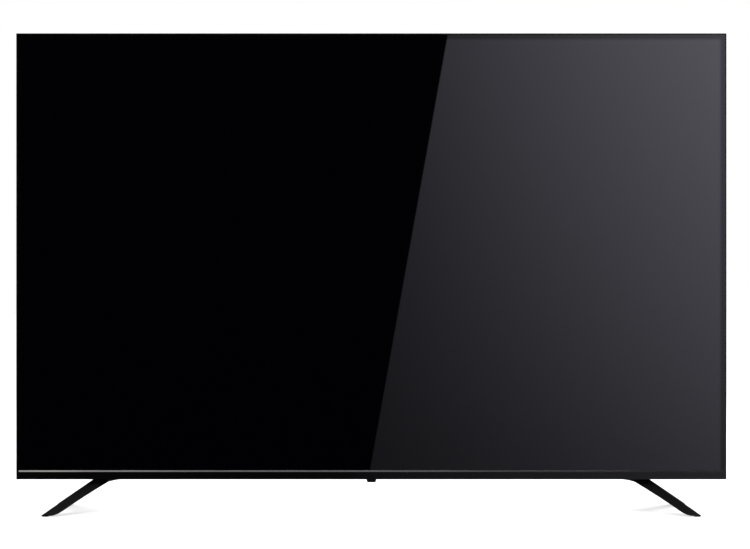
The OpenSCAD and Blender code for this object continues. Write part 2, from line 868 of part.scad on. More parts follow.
// Screws into the standoffs, and those that hold the stand brackets to the tray
module chassis_screws() {
  color("silver") {
    for (p = all_board_holes) pan_screw(p[0], p[1], d_parts, d_chassis + standoff_web + tip_gap);
    for (p = bracket_screws_at) pan_screw(p[0], p[1], d_chassis + bracket_t, d_floor - tip_reach);
  }
}

// A block standing on the face of a board
module on_board(x, z, w, h, height) {
  slab(x, x + w, d_parts, d_parts + height, z, z + h);
}

sink_edge = 50;
sink_x = main_box[0] + main_w - sink_w - sink_edge;
sink_z = main_box[1] + main_h / 2 - sink_w / 2;
processor_h = 3;
processor_w = 32;

chip_h = 1.5;
chip_w = 20;
chip_gap = 8;

// A square chip of the given side, centred at [x, z] on a board
module chip(x, z, side, height) {
  on_board(x - side / 2, z - side / 2, side, side, height);
}

module board_chips() {
  mid_x = sink_x + sink_w / 2;
  mid_z = sink_z + sink_w / 2;
  tcon_mid = tcon_box[1] + tcon_h / 2;
  beside = (sink_w + chip_w) / 2 + chip_gap;
  color("#18181a") {
    chip(mid_x, mid_z, processor_w, processor_h);
    for (s = [-1, 1]) {
      chip(sink_x + sink_w + chip_gap + chip_w / 2, mid_z + s * (chip_w / 2 + chip_gap / 4), chip_w, chip_h);
      chip(mid_x, mid_z + s * beside, chip_w, chip_h);
      chip(s * tcon_w / 4, tcon_mid, chip_w * 0.6, chip_h);
    }
    chip(0, tcon_mid, chip_w, chip_h);
  }
}

// Finned heat sink on the processor, and two plates on the power board
module heat_sinks() {
  fin_t = 1.5;
  fins = 9;
  base_t = 4;
  plate_t = 4;
  plate_edge = 28;
  d0 = d_parts + processor_h;
  color("#b4b8bc") {
    slab(sink_x, sink_x + sink_w, d0, d0 + base_t, sink_z, sink_z + sink_w);
    for (i = [0 : fins - 1]) {
      x = sink_x + i * (sink_w - fin_t) / (fins - 1);
      slab(x, x + fin_t, d0 + base_t - touch, d0 + sink_h, sink_z, sink_z + sink_w);
    }
    for (z = [plate_edge, power_h - plate_edge - plate_t])
      on_board(power_box[0] + plate_edge, power_box[1] + z, sink_w, plate_t, transformer_h - 2);
  }
}

capacitor_edge = 40;

// Four capacitors in a square near the board's upper outer corner
module power_capacitors() {
  pitch = 2.6 * capacitor_r;
  x0 = power_box[0] + power_w - capacitor_edge;
  z0 = power_box[1] + power_h - capacitor_edge;
  color("#2b3a55") for (i = [0, 1], k = [0, 1])
    rod(x0 - i * pitch, z0 - k * pitch, capacitor_r, d_parts, d_parts + capacitor_h);
}

core = [34, 30];
bobbin = [26, 44];
bobbin_drop = 4;
transformer_gap = 52;
transformer_edge = 40;

// Wound transformers: a core round a bobbin that shows at both ends
module power_transformers() {
  x = power_box[0] + transformer_edge;
  mid = power_box[1] + power_h / 2;
  color("#4a3b22") for (s = [-1, 1]) {
    z = mid + s * transformer_gap / 2;
    on_board(x, z - core[1] / 2, core[0], core[1], transformer_h);
    on_board(x + (core[0] - bobbin[0]) / 2, z - bobbin[1] / 2, bobbin[0], bobbin[1],
             transformer_h - bobbin_drop);
  }
}

// Insulating sheet on the tray below the power board, pierced round the standoffs
module insulation_sheet() {
  margin = 5;
  color("#dcdcd4") difference() {
    slab(power_box[0] - margin, power_box[0] + power_w - 1, d_chassis, d_chassis + insulation_t,
         power_box[1] - margin, power_box[1] + power_h + margin);
    for (p = board_holes(power_box))
      rod(p[0], p[1], standoff_r + sheet_gap, d_chassis - through, d_chassis + insulation_t + through);
  }
}

source_in = 40;
source_w = tenon_in - source_end - source_in;
z_source = well_low + 6;

module source_boards() {
  color("#0f5132") both_sides()
    slab(source_in, source_in + source_w, d_chassis, d_chassis + source_t, z_source, z_source + source_h);
}

// Chip-on-film tails: bonded behind the glass edge, down, back under the tray and up to the board
module chip_films() {
  bond = 3;
  hold = 4;
  back = d_chassis + source_t;
  pitch = source_w / tail_count;
  color("#b5792f") both_sides() for (i = [0 : tail_count - 1]) {
    x = source_in + (i + 0.5) * pitch - tail_w / 2;
    drawn_across([
      [d_tape, z_glass + bond], [d_tape, z_tail], [back + tail_t, z_tail], [back + tail_t, z_source + hold],
      [back, z_source + hold], [back, z_tail + tail_t], [d_tape + tail_t, z_tail + tail_t],
      [d_tape + tail_t, z_glass + bond]
    ], x, x + tail_w);
  }
}

// Ribbon cables from the timing board down to the two source boards
module tcon_ribbons() {
  ribbon_w = 30;
  ribbon_x = 55;
  hold = 8;
  sag = 6;
  tail_gap = 1;
  tail_hold = 4;
  back = d_chassis + source_t;
  foot = z_source + tail_hold + tail_gap;
  route = [
    [d_parts, tcon_box[1] + hold], [d_parts, tcon_box[1] - 2], [back, z_source + source_h + sag], [back, foot]
  ];
  last = len(route) - 1;
  color("#e6e3da") both_sides() drawn_across(concat(
    route,
    [for (i = [last : -1 : 0]) route[i] + [tail_t, 0]]
  ), ribbon_x, ribbon_x + ribbon_w);
}

radio_w = 40;
radio_h = 26;
radio_gap = 20;
radio_t = 1;
can_edge = 3;
can_h = 3;

// Radio module beside the timing board: a small board on the tray with a screening can
module wifi_module() {
  x = tcon_box[0] - radio_gap - radio_w;
  z = tcon_box[1] + radio_gap;
  can_d = d_chassis + radio_t;
  color("#0f5132") {
    slab(x, x + radio_w, d_chassis, can_d, z, z + radio_h);
    slab(x + can_edge, x + radio_w / 2, can_d - touch, can_d + can_h, z + can_edge, z + radio_h - can_edge);
  }
}

// Connectors, all facing out of the port bay or the inlet bay

function port_z(slot) = port_top - slot * port_pitch;

// Moves a connector drawn along +X from the origin to the port bay: +X leads into the set, +Y off the board
module at_port(slot) {
  translate([-port_face, depth_y(d_parts), port_z(slot)]) children();
}

// Block with its face at the origin, centred on Z: size is [width, height, length]
module port_block(size) {
  translate([0, 0, -size[0] / 2]) cube([size[2], size[1], size[0]]);
}

// Folded metal shell with an open mouth
module port_shell(size, cavity) {
  difference() {
    port_block(size);
    translate([-through, shell_t, -size[0] / 2 + shell_t])
      cube([cavity + through, size[1] - 2 * shell_t, size[0] - 2 * shell_t]);
  }
}

// Outline of a video socket, narrower at the board, shrunk by the given inset
module video_plan(size, inset) {
  half = size[0] / 2 - inset;
  foot = half - hdmi_step;
  low = inset;
  high = size[1] - inset;
  step = low + hdmi_step;
  polygon([[low, -foot], [step, -half], [high, -half], [high, half], [step, half], [low, foot]]);
}

// Video socket's shell, with the sloping lower corners that make it fit one way round
module video_shell(size, cavity) {
  difference() {
    rotate([90, 0, 90]) linear_extrude(height = size[2]) video_plan(size, 0);
    translate([-through, 0, 0]) rotate([90, 0, 90]) linear_extrude(height = cavity + through)
      video_plan(size, shell_t);
  }
}

// Contact tongue inside a shell, standing on the back of its cavity
module port_tongue(size, cavity) {
  w = size[0] - 2 * shell_t - 2 * tongue_side;
  translate([1, (size[1] - tongue_t) / 2, -w / 2]) cube([cavity - 1, tongue_t, w]);
}

module hdmi_sockets() {
  color("silver") for (s = hdmi_slots) at_port(s) video_shell(hdmi_size, hdmi_cavity);
}

module usb_sockets() {
  color("silver") for (s = usb_slots) at_port(s) port_shell(usb_size, usb_cavity);
}

module socket_tongues() {
  color("#202022") {
    for (s = hdmi_slots) at_port(s) port_tongue(hdmi_size, hdmi_cavity);
    for (s = usb_slots) at_port(s) port_tongue(usb_size, usb_cavity);
  }
}

module lan_socket() {
  rim = 2;
  color("#b8bcc0") at_port(lan_slot) difference() {
    port_block(lan_size);
    translate([-through, rim, -lan_hole[0] / 2]) cube([lan_hole[2] + through, lan_hole[1], lan_hole[0]]);
    translate([-through, rim + lan_hole[1] - touch, -lan_latch[0] / 2])
      cube([lan_hole[2] + through, lan_latch[1] + touch, lan_latch[0]]);
  }
}

module optical_socket() {
  color("#18181a") at_port(optical_slot) difference() {
    port_block(optical_size);
    translate([-through, (optical_size[1] - optical_hole[1]) / 2, -optical_hole[0] / 2])
      cube([optical_hole[2] + through, optical_hole[1], optical_hole[0]]);
  }
}

// Coaxial aerial socket: a barrel standing out of a metal can
module antenna_socket() {
  axis_y = antenna_size[1] / 2;
  color("silver") at_port(antenna_slot) difference() {
    union() {
      port_block(antenna_size);
      translate([-antenna_barrel_len, axis_y, 0]) rotate([0, 90, 0])
        cylinder(r = antenna_barrel_r, h = antenna_barrel_len + touch);
    }
    translate([-antenna_barrel_len - through, axis_y, 0]) rotate([0, 90, 0])
      cylinder(r = antenna_bore_r, h = antenna_bore_depth + through);
  }
}

module audio_jacks() {
  color("#18181a") for (s = audio_slots) at_port(s) difference() {
    port_block(audio_size);
    translate([-through, audio_size[1] / 2, 0]) rotate([0, 90, 0])
      cylinder(r = audio_bore_r, h = audio_bore_depth + through);
  }
}

inlet_z = (inlet_low + inlet_high) / 2;

// Mains inlet with a figure-of-eight mouth, facing out of the inlet bay
module at_inlet() {
  translate([port_face, depth_y(d_parts), inlet_z]) children();
}

module ac_inlet() {
  axis_y = inlet_size[1] / 2;
  color("#18181a") at_inlet() difference() {
    translate([-inlet_size[2], 0, -inlet_size[0] / 2]) cube([inlet_size[2], inlet_size[1], inlet_size[0]]);
    for (s = [-1, 1]) translate([-inlet_hole_depth, axis_y, s * inlet_lobe_x]) rotate([0, 90, 0])
      cylinder(r = inlet_lobe_r, h = inlet_hole_depth + through);
    translate([-inlet_hole_depth, axis_y - inlet_waist / 2, -inlet_lobe_x])
      cube([inlet_hole_depth + through, inlet_waist, 2 * inlet_lobe_x]);
  }
}

module inlet_pins() {
  color("silver") at_inlet() for (s = [-1, 1])
    translate([-inlet_hole_depth, inlet_size[1] / 2, s * inlet_lobe_x]) rotate([0, 90, 0])
      cylinder(r = pin_r, h = pin_len);
}

// Window for a connector of the given size in the wall of the bay
module port_window(size) {
  g = port_clear;
  translate([-through, -g, -size[0] / 2 - g])
    cube([wall + port_proud + 2 * through, size[1] + 2 * g, size[0] + 2 * g]);
}

module port_windows() {
  for (s = hdmi_slots) at_port(s) port_window(hdmi_size);
  for (s = usb_slots) at_port(s) port_window(usb_size);
  for (s = audio_slots) at_port(s) port_window(audio_size);
  at_port(lan_slot) port_window(lan_size);
  at_port(optical_slot) port_window(optical_size);
  at_port(antenna_slot) port_window(antenna_size);
  at_inlet() mirror([1, 0, 0]) port_window(inlet_size);
}

// Speakers, firing down through the cover's floor

z_ring = z_low + wall;
z_driver = z_ring + speaker_ring_t;
driver_flange_t = 2;
z_speaker = z_driver + driver_flange_t;
ear_t = 4;
d_speaker = d_chassis + ear_t;
d_speaker_mid = (d_panel + d_cover - cover_chamfer - wall) / 2;
ear_w = 14;
ear_h = 20;
speaker_ring_w = 2.5;
slot_w = 3;
slot_pitch = 6;
motor_r = driver_r * 0.7;
motor_h = 14;

// The oblong plan of a loudspeaker, shrunk by the given inset
module driver_plan(inset, z0, z1) {
  r = driver_r - inset;
  run = driver_len / 2 - driver_r;
  slab(speaker_x - run, speaker_x + run, d_speaker_mid - r, d_speaker_mid + r, z0, z1);
  for (s = [-1, 1]) post(speaker_x + s * run, d_speaker_mid, r, z0, z1);
}

module speaker_boxes() {
  color("#1c1c1e") both_sides() difference() {
    union() {
      slab(speaker_x - speaker_w / 2, speaker_x + speaker_w / 2, d_speaker, d_speaker + speaker_d,
           z_speaker, z_speaker + speaker_h);
      for (x = [speaker_x - speaker_w / 2, speaker_x + speaker_w / 2 - ear_w])
        slab(x, x + ear_w, d_chassis, d_speaker + touch, z_speaker + speaker_h - ear_h, z_speaker + speaker_h);
    }
    post(speaker_x, d_speaker_mid, motor_r + frame_fit, z_speaker - through, z_speaker + motor_h + frame_fit);
  }
}

// Loudspeaker drive unit: oblong flange with a shallow recess for the cone, and the motor
module speaker_drivers() {
  cone_depth = 1;
  color("#2a2a2c") both_sides() difference() {
    union() {
      driver_plan(0, z_driver, z_speaker);
      post(speaker_x, d_speaker_mid, motor_r, z_speaker - touch, z_speaker + motor_h);
    }
    driver_plan(speaker_ring_w, z_driver - through, z_driver + cone_depth);
  }
}

module speaker_rings() {
  color("#303030") both_sides() difference() {
    driver_plan(0, z_ring, z_driver);
    driver_plan(speaker_ring_w, z_ring - through, z_driver + through);
  }
}

// Control pod below the middle of the bezel

pod_back = pod_setback + pod_len;
control_t = 1.2;
switch_h = 1.5;
plunger_seat = 0.8;
plunger_r = 1.6;
plunger_fit = 0.08;
button_rest = 0.05;
button_flange_t = 1.1;
button_flange = 1;
button_proud = 0.4;
button_gap = 0.2;
button_back = 11;
d_button = pod_back - button_back;
z_control = z_low - control_t;
z_switch = z_control - switch_h;
z_pod = z_low - pod_h;
z_button = z_pod + pod_wall + button_rest + button_flange_t;

// Cross section of the pod with rounded lower corners, shrunk by the given inset, drawn from d0 to d1
module pod_form(inset, d0, d1, z0, z1) {
  top = pod_w / 2 - inset;
  low = pod_low_w / 2 - inset;
  r = pod_round - inset;
  reach = r * (1 + (top - low) / (z1 - z0));
  corner = [for (k = [0 : 4]) [low - r + reach * sin(22.5 * k), z0 + r - r * cos(22.5 * k)]];
  mirrored = [for (k = [4 : -1 : 0]) [-corner[k][0], corner[k][1]]];
  translate([0, depth_y(d1), 0]) rotate([90, 0, 0]) linear_extrude(height = d1 - d0)
    polygon(concat(corner, [[top, z1], [-top, z1]], mirrored));
}

module control_pod() {
  window_w = pod_low_w - 5;
  color("#0c0c0e") difference() {
    pod_form(0, pod_setback, pod_back, z_pod, z_low);
    pod_form(pod_wall, pod_setback + pod_wall, pod_back - pod_wall, z_pod + pod_wall, z_low + touch);
    slab(-window_w / 2, window_w / 2, pod_setback - through, pod_setback + pod_wall + through,
         z_pod + pod_wall, z_control - 0.5);
    button_block(button_gap, z_pod - through, z_pod + pod_wall + through);
  }
}

module ir_window() {
  window_w = pod_low_w - 5;
  fit = 0.1;
  color("#1a0508") slab(-window_w / 2 + fit, window_w / 2 - fit, pod_setback, pod_setback + pod_wall,
                        z_pod + pod_wall + fit, z_control - 0.5 - fit);
}

// Control board with the infrared receiver hanging from it behind the window
module control_board() {
  half = pod_low_w / 2 - pod_wall - frame_fit;
  front = pod_setback + pod_wall + frame_fit;
  eye = [6, 3, 3];
  color("#0f5132") {
    slab(-half, half, front, pod_back - pod_wall - frame_fit, z_control, z_low);
    slab(-eye[0] / 2, eye[0] / 2, front, front + eye[1], z_control - eye[2], z_control + touch);
  }
}

module tact_switch() {
  half = 3;
  color("#b8bcc0") difference() {
    slab(-half, half, d_button - half, d_button + half, z_switch, z_control);
    post(0, d_button, plunger_r + plunger_fit, z_switch - through, z_control - 0.1);
  }
}

module switch_plunger() {
  color("#3a3a3c") post(0, d_button, plunger_r, z_button, z_switch + plunger_seat);
}

// The button's plan with rounded ends, grown by the given amount
module button_block(grow, z0, z1) {
  r = button_w / 2 + grow;
  run = (button_len - button_w) / 2;
  union() {
    slab(-r, r, d_button - run, d_button + run, z0, z1);
    for (s = [-1, 1]) post(0, d_button + s * run, r, z0, z1);
  }
}

module power_button() {
  color("#17171a") {
    button_block(button_flange, z_button - button_flange_t, z_button);
    button_block(0, z_pod - button_proud, z_button - button_flange_t + touch);
  }
}

// Legs and what holds them

z_sole = pad_t;

// Front view of the right leg: root plate, blade and rounded heel, as [x, z] points
function leg_front() = let (
  rise = function (z) (z - z_sole) / (z_low - z_sole),
  outer_x = function (z) leg_tip_x + (leg_root_x - leg_tip_x) * rise(z),
  width = function (z) leg_blade_w + leg_flare * pow(rise(z), 2) + leg_swell * (1 - rise(z)),
  inner_x = function (z) outer_x(z) - width(z),
  heel_x = leg_tip_x - leg_tip_flat,
  heel_z = z_sole + leg_heel,
  throat_z = z_low - leg_throat
) [
  [leg_plate_x, z_low], [leg_root_x, z_low], [leg_tip_x, z_sole], [heel_x, z_sole],
  for (k = [1 : 5]) let (t = k / 5)
    [(1 - t) * heel_x + t * inner_x(heel_z), z_sole + leg_heel * t * t],
  for (k = [1 : 8]) let (z = heel_z + (throat_z - heel_z) * k / 8)
    [inner_x(z), z],
  for (k = [1 : 6]) let (t = k / 6)
    [(1 - t) * inner_x(throat_z) + t * leg_plate_x, throat_z + (leg_throat - 1) * t * (2 - t)]
];

// Side view of a leg: an upturned V with a flat top, as [y, z] points
function leg_side() = let (
  tip = leg_span / 2,
  root = leg_root_len / 2,
  half = concat(
    [[root, z_low], [tip, z_sole], [tip - leg_sole, z_sole]],
    [for (k = [0 : 4]) let (t = 1 - k / 4, y = (tip - leg_sole) * 0.3 * t)
      [y, z_low - leg_crotch - 9 * t * t]]
  )
) concat(half, [for (k = [len(half) - 2 : -1 : 0]) [-half[k][0], half[k][1]]]);

module leg(side) {
  color("#0e0e10") mirror([side < 0 ? 1 : 0, 0, 0]) difference() {
    union() {
      intersection() {
        translate([0, leg_span, 0]) rotate([90, 0, 0])
          linear_extrude(height = 2 * leg_span) polygon(leg_front());
        translate([leg_plate_x - leg_span, 0, 0]) rotate([90, 0, 90])
          linear_extrude(height = leg_tip_x - leg_plate_x + 2 * leg_span) polygon(leg_side());
      }
      slab(tenon_in, tenon_out, d_tenon, d_tenon + tenon_len, z_low - touch, z_low + tenon_h);
    }
    for (d = leg_screw_d) {
      post(leg_screw_x, d, leg_screw_r + screw_clear, z_low - leg_crotch, z_low + tenon_h + through);
      post(leg_screw_x, d, leg_head_r + screw_clear, z_low - leg_crotch, leg_head_top);
    }
  }
}

module left_leg() { leg(-1); }

module right_leg() { leg(1); }

// Rubber pads under the four tips
module foot_pads() {
  x0 = leg_tip_x - leg_tip_flat + pad_margin;
  x1 = leg_tip_x - pad_margin;
  y0 = leg_span / 2 - leg_sole + pad_margin;
  y1 = leg_span / 2 - pad_margin;
  color("#1a1a1a") both_sides() for (s = [0, 1]) mirror([0, s, 0])
    translate([x0, y0, 0]) cube([x1 - x0, y1 - y0, pad_t]);
}

module leg_screws() {
  reach = tenon_h + bracket_block_t - 2;
  color("#3a3a3c") both_sides() for (d = leg_screw_d) {
    post(leg_screw_x, d, leg_screw_r, leg_head_top - touch, z_low + reach);
    post(leg_screw_x, d, leg_head_r, leg_head_top - leg_head_h, leg_head_top);
  }
}

bracket_low = z_low + tenon_h;
bracket_screw_edge = 12;
bracket_screw_gap = 18;
bracket_top = bracket_low + bracket_h - bracket_screw_edge;
bracket_screw_z = [bracket_top - bracket_screw_gap, bracket_top];
bracket_mid = (tenon_in + tenon_out) / 2;
bracket_screws_at = [for (s = [-1, 1], z = bracket_screw_z) [s * bracket_mid, z]];

// Steel angles on the tray that take the leg screws
module stand_brackets() {
  block_back = d_tenon + tenon_len + bracket_rear_margin;
  color("#8e9296") both_sides() difference() {
    union() {
      slab(tenon_in, tenon_out, d_chassis, block_back, bracket_low, bracket_low + bracket_block_t);
      slab(tenon_in, tenon_out, d_chassis, d_chassis + bracket_t, bracket_low, bracket_low + bracket_h);
    }
    for (d = leg_screw_d)
      post(leg_screw_x, d, leg_screw_r + screw_clear, z_low, bracket_low + bracket_block_t + through);
    for (z = bracket_screw_z)
      rod(bracket_mid, z, screw_r + screw_clear, d_chassis - through, d_chassis + bracket_t + through);
  }
}

// Plugs and leads between the boards, the speakers and the control pod

lead_r = 2;
key_lead_r = 1.2;
key_lead_x = 4;
lead_lift = 0.2;
lead_sides = 8;
plug_h = 6;
plug_w = 10;
plug_edge = 4;
main_edge = main_box[0] + main_w;
plug_out = main_edge - plug_edge;
power_plug = 112;
left_plug = 25;
key_plug = 45;
right_plug = 65;

// Plugs on the boards: [left edge, middle height, height]
plugs = [
  [plug_out - plug_w, main_box[1] + power_plug, 24], [plug_out - plug_w, main_box[1] + key_plug, 10],
  [plug_out - plug_w, main_box[1] + left_plug, 10], [plug_out - plug_w, main_box[1] + right_plug, 10],
  [power_box[0] + plug_edge, power_box[1] + power_plug, 24]
];

module lead_plugs() {
  color("#efeee6") for (p = plugs) on_board(p[0], p[1] - p[2] / 2, plug_w, p[2], plug_h);
}

// Depths of a lead's middle: along the tray, at a plug, and where it enters a speaker box
function lead_low(r) = d_chassis + r + lead_lift;

lead_high = d_parts + plug_h / 2;
lead_box = d_speaker + speaker_d / 3;
speaker_in = speaker_x - speaker_w / 2;
box_entry = z_speaker + speaker_h * 0.7;

lead_run = 18;
lead_dip = 2;
lead_bow = 24;
lead_steps = 6;
lead_turn = 45;
box_run = 20;
box_bend = 12;

// Points of a bowed run along the tray between two places given as [x, z]
function bowed_run(a, b, bow, depth) = [
  for (k = [1 : lead_steps - 1]) let (t = k / lead_steps)
    [between(a[0], b[0], t), depth, between(a[1], b[1], t) + bow * sin(180 * t)]
];

// The way from a plug at [x, z], over the board's edge to the given side and down to the tray
function plug_drop(x, edge, z, side, r) = [
  [x, lead_high, z], [edge + side * lead_run * 0.2, lead_high, z],
  [edge + side * lead_run * 0.4, lead_high - lead_dip, z],
  [edge + side * lead_run * 0.8, lead_low(r) + lead_dip, z], [edge + side * lead_run, lead_low(r), z]
];

function main_drop(plug, r) = plug_drop(plug_out, main_edge, main_box[1] + plug, 1, r);

function turned_round(route) = [for (i = [len(route) - 1 : -1 : 0]) route[i]];

// The last stretch into the side of a speaker box, on the given side of the set
function box_way(side) = [
  [side * (speaker_in - box_run - box_bend), lead_box, box_entry + lead_dip],
  [side * (speaker_in - box_run), lead_box, box_entry], [side * speaker_in, lead_box, box_entry]
];

power_low = lead_low(lead_r);
power_edge = power_box[0];
power_z = power_box[1] + power_plug;
main_run = main_edge + lead_run;
power_route = concat(
  main_drop(power_plug, lead_r),
  bowed_run([main_run, main_box[1] + power_plug], [power_edge - lead_run, power_z], lead_bow, power_low),
  turned_round(plug_drop(power_edge + plug_edge, power_edge, power_z, -1, lead_r))
);
box_top = z_speaker + speaker_h;
left_speaker_route = concat(main_drop(left_plug, lead_r), [
  [main_run + lead_dip * 3, power_low, main_box[1] + left_plug - box_bend],
  [main_run + lead_dip * 3, power_low, box_top + lead_turn],
  [main_edge + box_bend, power_low + lead_r, box_top]
], box_way(-1));
right_turn = [power_edge - lead_turn, main_box[1] + right_plug - box_bend];
right_speaker_route = concat(
  main_drop(right_plug, lead_r),
  bowed_run([main_run, main_box[1] + right_plug], right_turn, lead_dip * 3, power_low), [
  [right_turn[0], power_low, right_turn[1]],
  [power_edge - lead_run * 1.4, power_low, right_turn[1] - lead_turn],
  [power_edge - lead_run, power_low, box_top + lead_turn],
  [power_edge, power_low + lead_r, box_top]
], box_way(1));
key_low = lead_low(key_lead_r);
key_top = tcon_box[1] - box_bend;
key_route = concat(
  main_drop(key_plug, key_lead_r),
  bowed_run([main_run, main_box[1] + key_plug], [key_lead_x, key_top], lead_bow, key_low), [
  [key_lead_x, key_low, key_top], [key_lead_x, key_low, z_low + box_run], [key_lead_x, key_low, z_low]
]);

function unit(v) = v / norm(v);

function tangent(path, i) = unit(path[min(i + 1, len(path) - 1)] - path[max(i - 1, 0)]);

function lead_ring(path, i, r) = let (
  t = tangent(path, i),
  side = abs(t[1]) > 0.9 ? [0, 0, 1] : [0, 1, 0],
  a = unit(cross(t, side)),
  b = cross(a, t)
) [
  for (k = [0 : lead_sides - 1]) let (turn = 360 * k / lead_sides)
    path[i] + r * (cos(turn) * a + sin(turn) * b)
];

// A round lead of radius r swept along a route
module lead(route, r) {
  path = [for (p = route) [p[0], depth_y(p[1]), p[2]]];
  n = lead_sides;
  last = len(path) - 1;
  points = [for (i = [0 : last]) each lead_ring(path, i, r)];
  polyhedron(points = points, faces = concat(
    [[for (k = [n - 1 : -1 : 0]) k]],
    [[for (k = [0 : n - 1]) last * n + k]],
    [for (i = [0 : last - 1], k = [0 : n - 1]) let (j = (k + 1) % n) each [
      [i * n + k, i * n + j, (i + 1) * n + j], [i * n + k, (i + 1) * n + j, (i + 1) * n + k]
    ]]
  ));
}

module internal_leads() {
  color("#c9c9c4") {
    lead(power_route, lead_r);
    lead(left_speaker_route, lead_r);
    lead(right_speaker_route, lead_r);
    lead(key_route, key_lead_r);
  }
}

lcd_panel();
panel_tape();
mid_frame();
optical_films();
diffuser_plate();
diffuser_supports();
reflector_sheet();
led_bars();
led_lenses();
rear_tray();
top_rail();
left_rail();
right_rail();
corner_keys();
bottom_bezel();
trim_strip();
back_panel();
rear_cover();
cover_posts();
back_screws();
vesa_bushes();
main_board();
power_board();
tcon_board();
board_chips();
heat_sinks();
power_capacitors();
power_transformers();
insulation_sheet();
source_boards();
chip_films();
tcon_ribbons();
wifi_module();
board_standoffs();
chassis_screws();
hdmi_sockets();
usb_sockets();
socket_tongues();
lan_socket();
optical_socket();
antenna_socket();
audio_jacks();
ac_inlet();
inlet_pins();
speaker_boxes();
speaker_drivers();
speaker_rings();
control_pod();
control_board();
ir_window();
tact_switch();
switch_plunger();
power_button();
left_leg();
right_leg();
foot_pads();
leg_screws();
stand_brackets();
lead_plugs();
internal_leads();
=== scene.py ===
"""Looks of a flat-screen television on two splayed legs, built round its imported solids.

Sizes are in metres. +Z is up, +X is the viewer's right and the screen faces -Y.
"""

import json
import logging
import math
from abc import ABC, abstractmethod
from collections.abc import Mapping, Sequence
from dataclasses import dataclass, field, replace
from enum import Enum

import bmesh
import bpy
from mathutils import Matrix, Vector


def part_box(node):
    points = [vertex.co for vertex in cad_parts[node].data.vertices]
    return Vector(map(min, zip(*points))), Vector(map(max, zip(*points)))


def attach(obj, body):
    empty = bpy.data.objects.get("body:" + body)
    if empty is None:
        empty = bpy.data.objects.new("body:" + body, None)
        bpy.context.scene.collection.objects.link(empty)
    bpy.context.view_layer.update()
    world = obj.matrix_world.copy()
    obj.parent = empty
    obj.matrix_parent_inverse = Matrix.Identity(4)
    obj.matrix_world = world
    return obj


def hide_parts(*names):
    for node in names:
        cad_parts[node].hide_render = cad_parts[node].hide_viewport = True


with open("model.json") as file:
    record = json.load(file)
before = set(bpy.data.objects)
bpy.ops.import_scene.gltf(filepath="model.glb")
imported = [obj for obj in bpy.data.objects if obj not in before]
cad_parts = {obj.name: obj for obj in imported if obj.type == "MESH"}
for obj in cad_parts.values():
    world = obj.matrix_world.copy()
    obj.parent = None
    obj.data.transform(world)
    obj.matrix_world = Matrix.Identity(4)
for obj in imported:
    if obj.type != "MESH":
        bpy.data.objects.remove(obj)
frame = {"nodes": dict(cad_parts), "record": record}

Colour = tuple[float, float, float]
Point = tuple[float, float, float]
Box = tuple[Point, Point]

WHITE = (1.0, 1.0, 1.0, 1.0)
# Corners of a solid's triangles that lie closer than this are one point.
WELD = 1e-6
# Points closer than this are merged before edges are rounded.
MERGE = 2e-5
# Faces that lean less than this from each other are joined into one.
FLAT = math.radians(0.3)
# A face looks backward where its normal's Y is above this.
BACKWARD = 0.1

log = logging.getLogger("television")


class Axis(Enum):
    """The axes of the set, by their places in a vector."""

    WIDTH = 0
    DEPTH = 1
    HEIGHT = 2


class Facing(Enum):
    """Where a screw's head points, as turns about X, Y and Z."""

    BACK = (-math.pi / 2, 0.0, 0.0)
    DOWN = (math.pi, 0.0, 0.0)


class Body(Enum):
    """The moving groups of the set."""

    SET = "set"
    BUTTON = "power_button"


class Wire:
    """A node's output, which adds Math nodes when it is used in a sum."""

    def __init__(self, bench: "Bench", socket: bpy.types.NodeSocket) -> None:
        """Keeps the bench and the socket."""
        self.bench = bench
        self.socket = socket

    def math(self, operation: str, *terms: "Term") -> "Wire":
        """The value of a Math node with that operation and those inputs, in order."""
        node = self.bench.node("ShaderNodeMath", {"operation": operation}, dict(enumerate(terms)))
        return self.bench.wire(node)

    def smooth(self, low: float, high: float) -> "Wire":
        """Goes smoothly from 0 to 1.

        Args:
            low: The value that gives 0.
            high: The value that gives 1.

        Returns:
            The smoothed share.
        """
        span = {"Value": self, "From Min": low, "From Max": high}
        node = self.bench.node("ShaderNodeMapRange", {"interpolation_type": "SMOOTHSTEP"}, span)
        return self.bench.wire(node)

    def __add__(self, other: "Term") -> "Wire":
        """Sum of the two."""
        return self.math("ADD", self, other)

    def __radd__(self, other: "Term") -> "Wire":
        """Sum of the two."""
        return self.math("ADD", other, self)

    def __sub__(self, other: "Term") -> "Wire":
        """This less the other."""
        return self.math("SUBTRACT", self, other)

    def __rsub__(self, other: "Term") -> "Wire":
        """The other less this."""
        return self.math("SUBTRACT", other, self)

    def __mul__(self, other: "Term") -> "Wire":
        """Product of the two."""
        return self.math("MULTIPLY", self, other)

    def __rmul__(self, other: "Term") -> "Wire":
        """Product of the two."""
        return self.math("MULTIPLY", other, self)

    def __truediv__(self, other: "Term") -> "Wire":
        """This over the other."""
        return self.math("DIVIDE", self, other)

    def __rtruediv__(self, other: "Term") -> "Wire":
        """The other over this."""
        return self.math("DIVIDE", other, self)

    def __abs__(self) -> "Wire":
        """Size without the sign."""
        return self.math("ABSOLUTE", self)

    def __gt__(self, other: "Term") -> "Wire":
        """1 where this is the larger, else 0."""
        return self.math("GREATER_THAN", self, other)


Term = Wire | float
Feed = Wire | float | int | Sequence[float] | Sequence[Wire]
Inputs = Mapping[str | int, Feed]


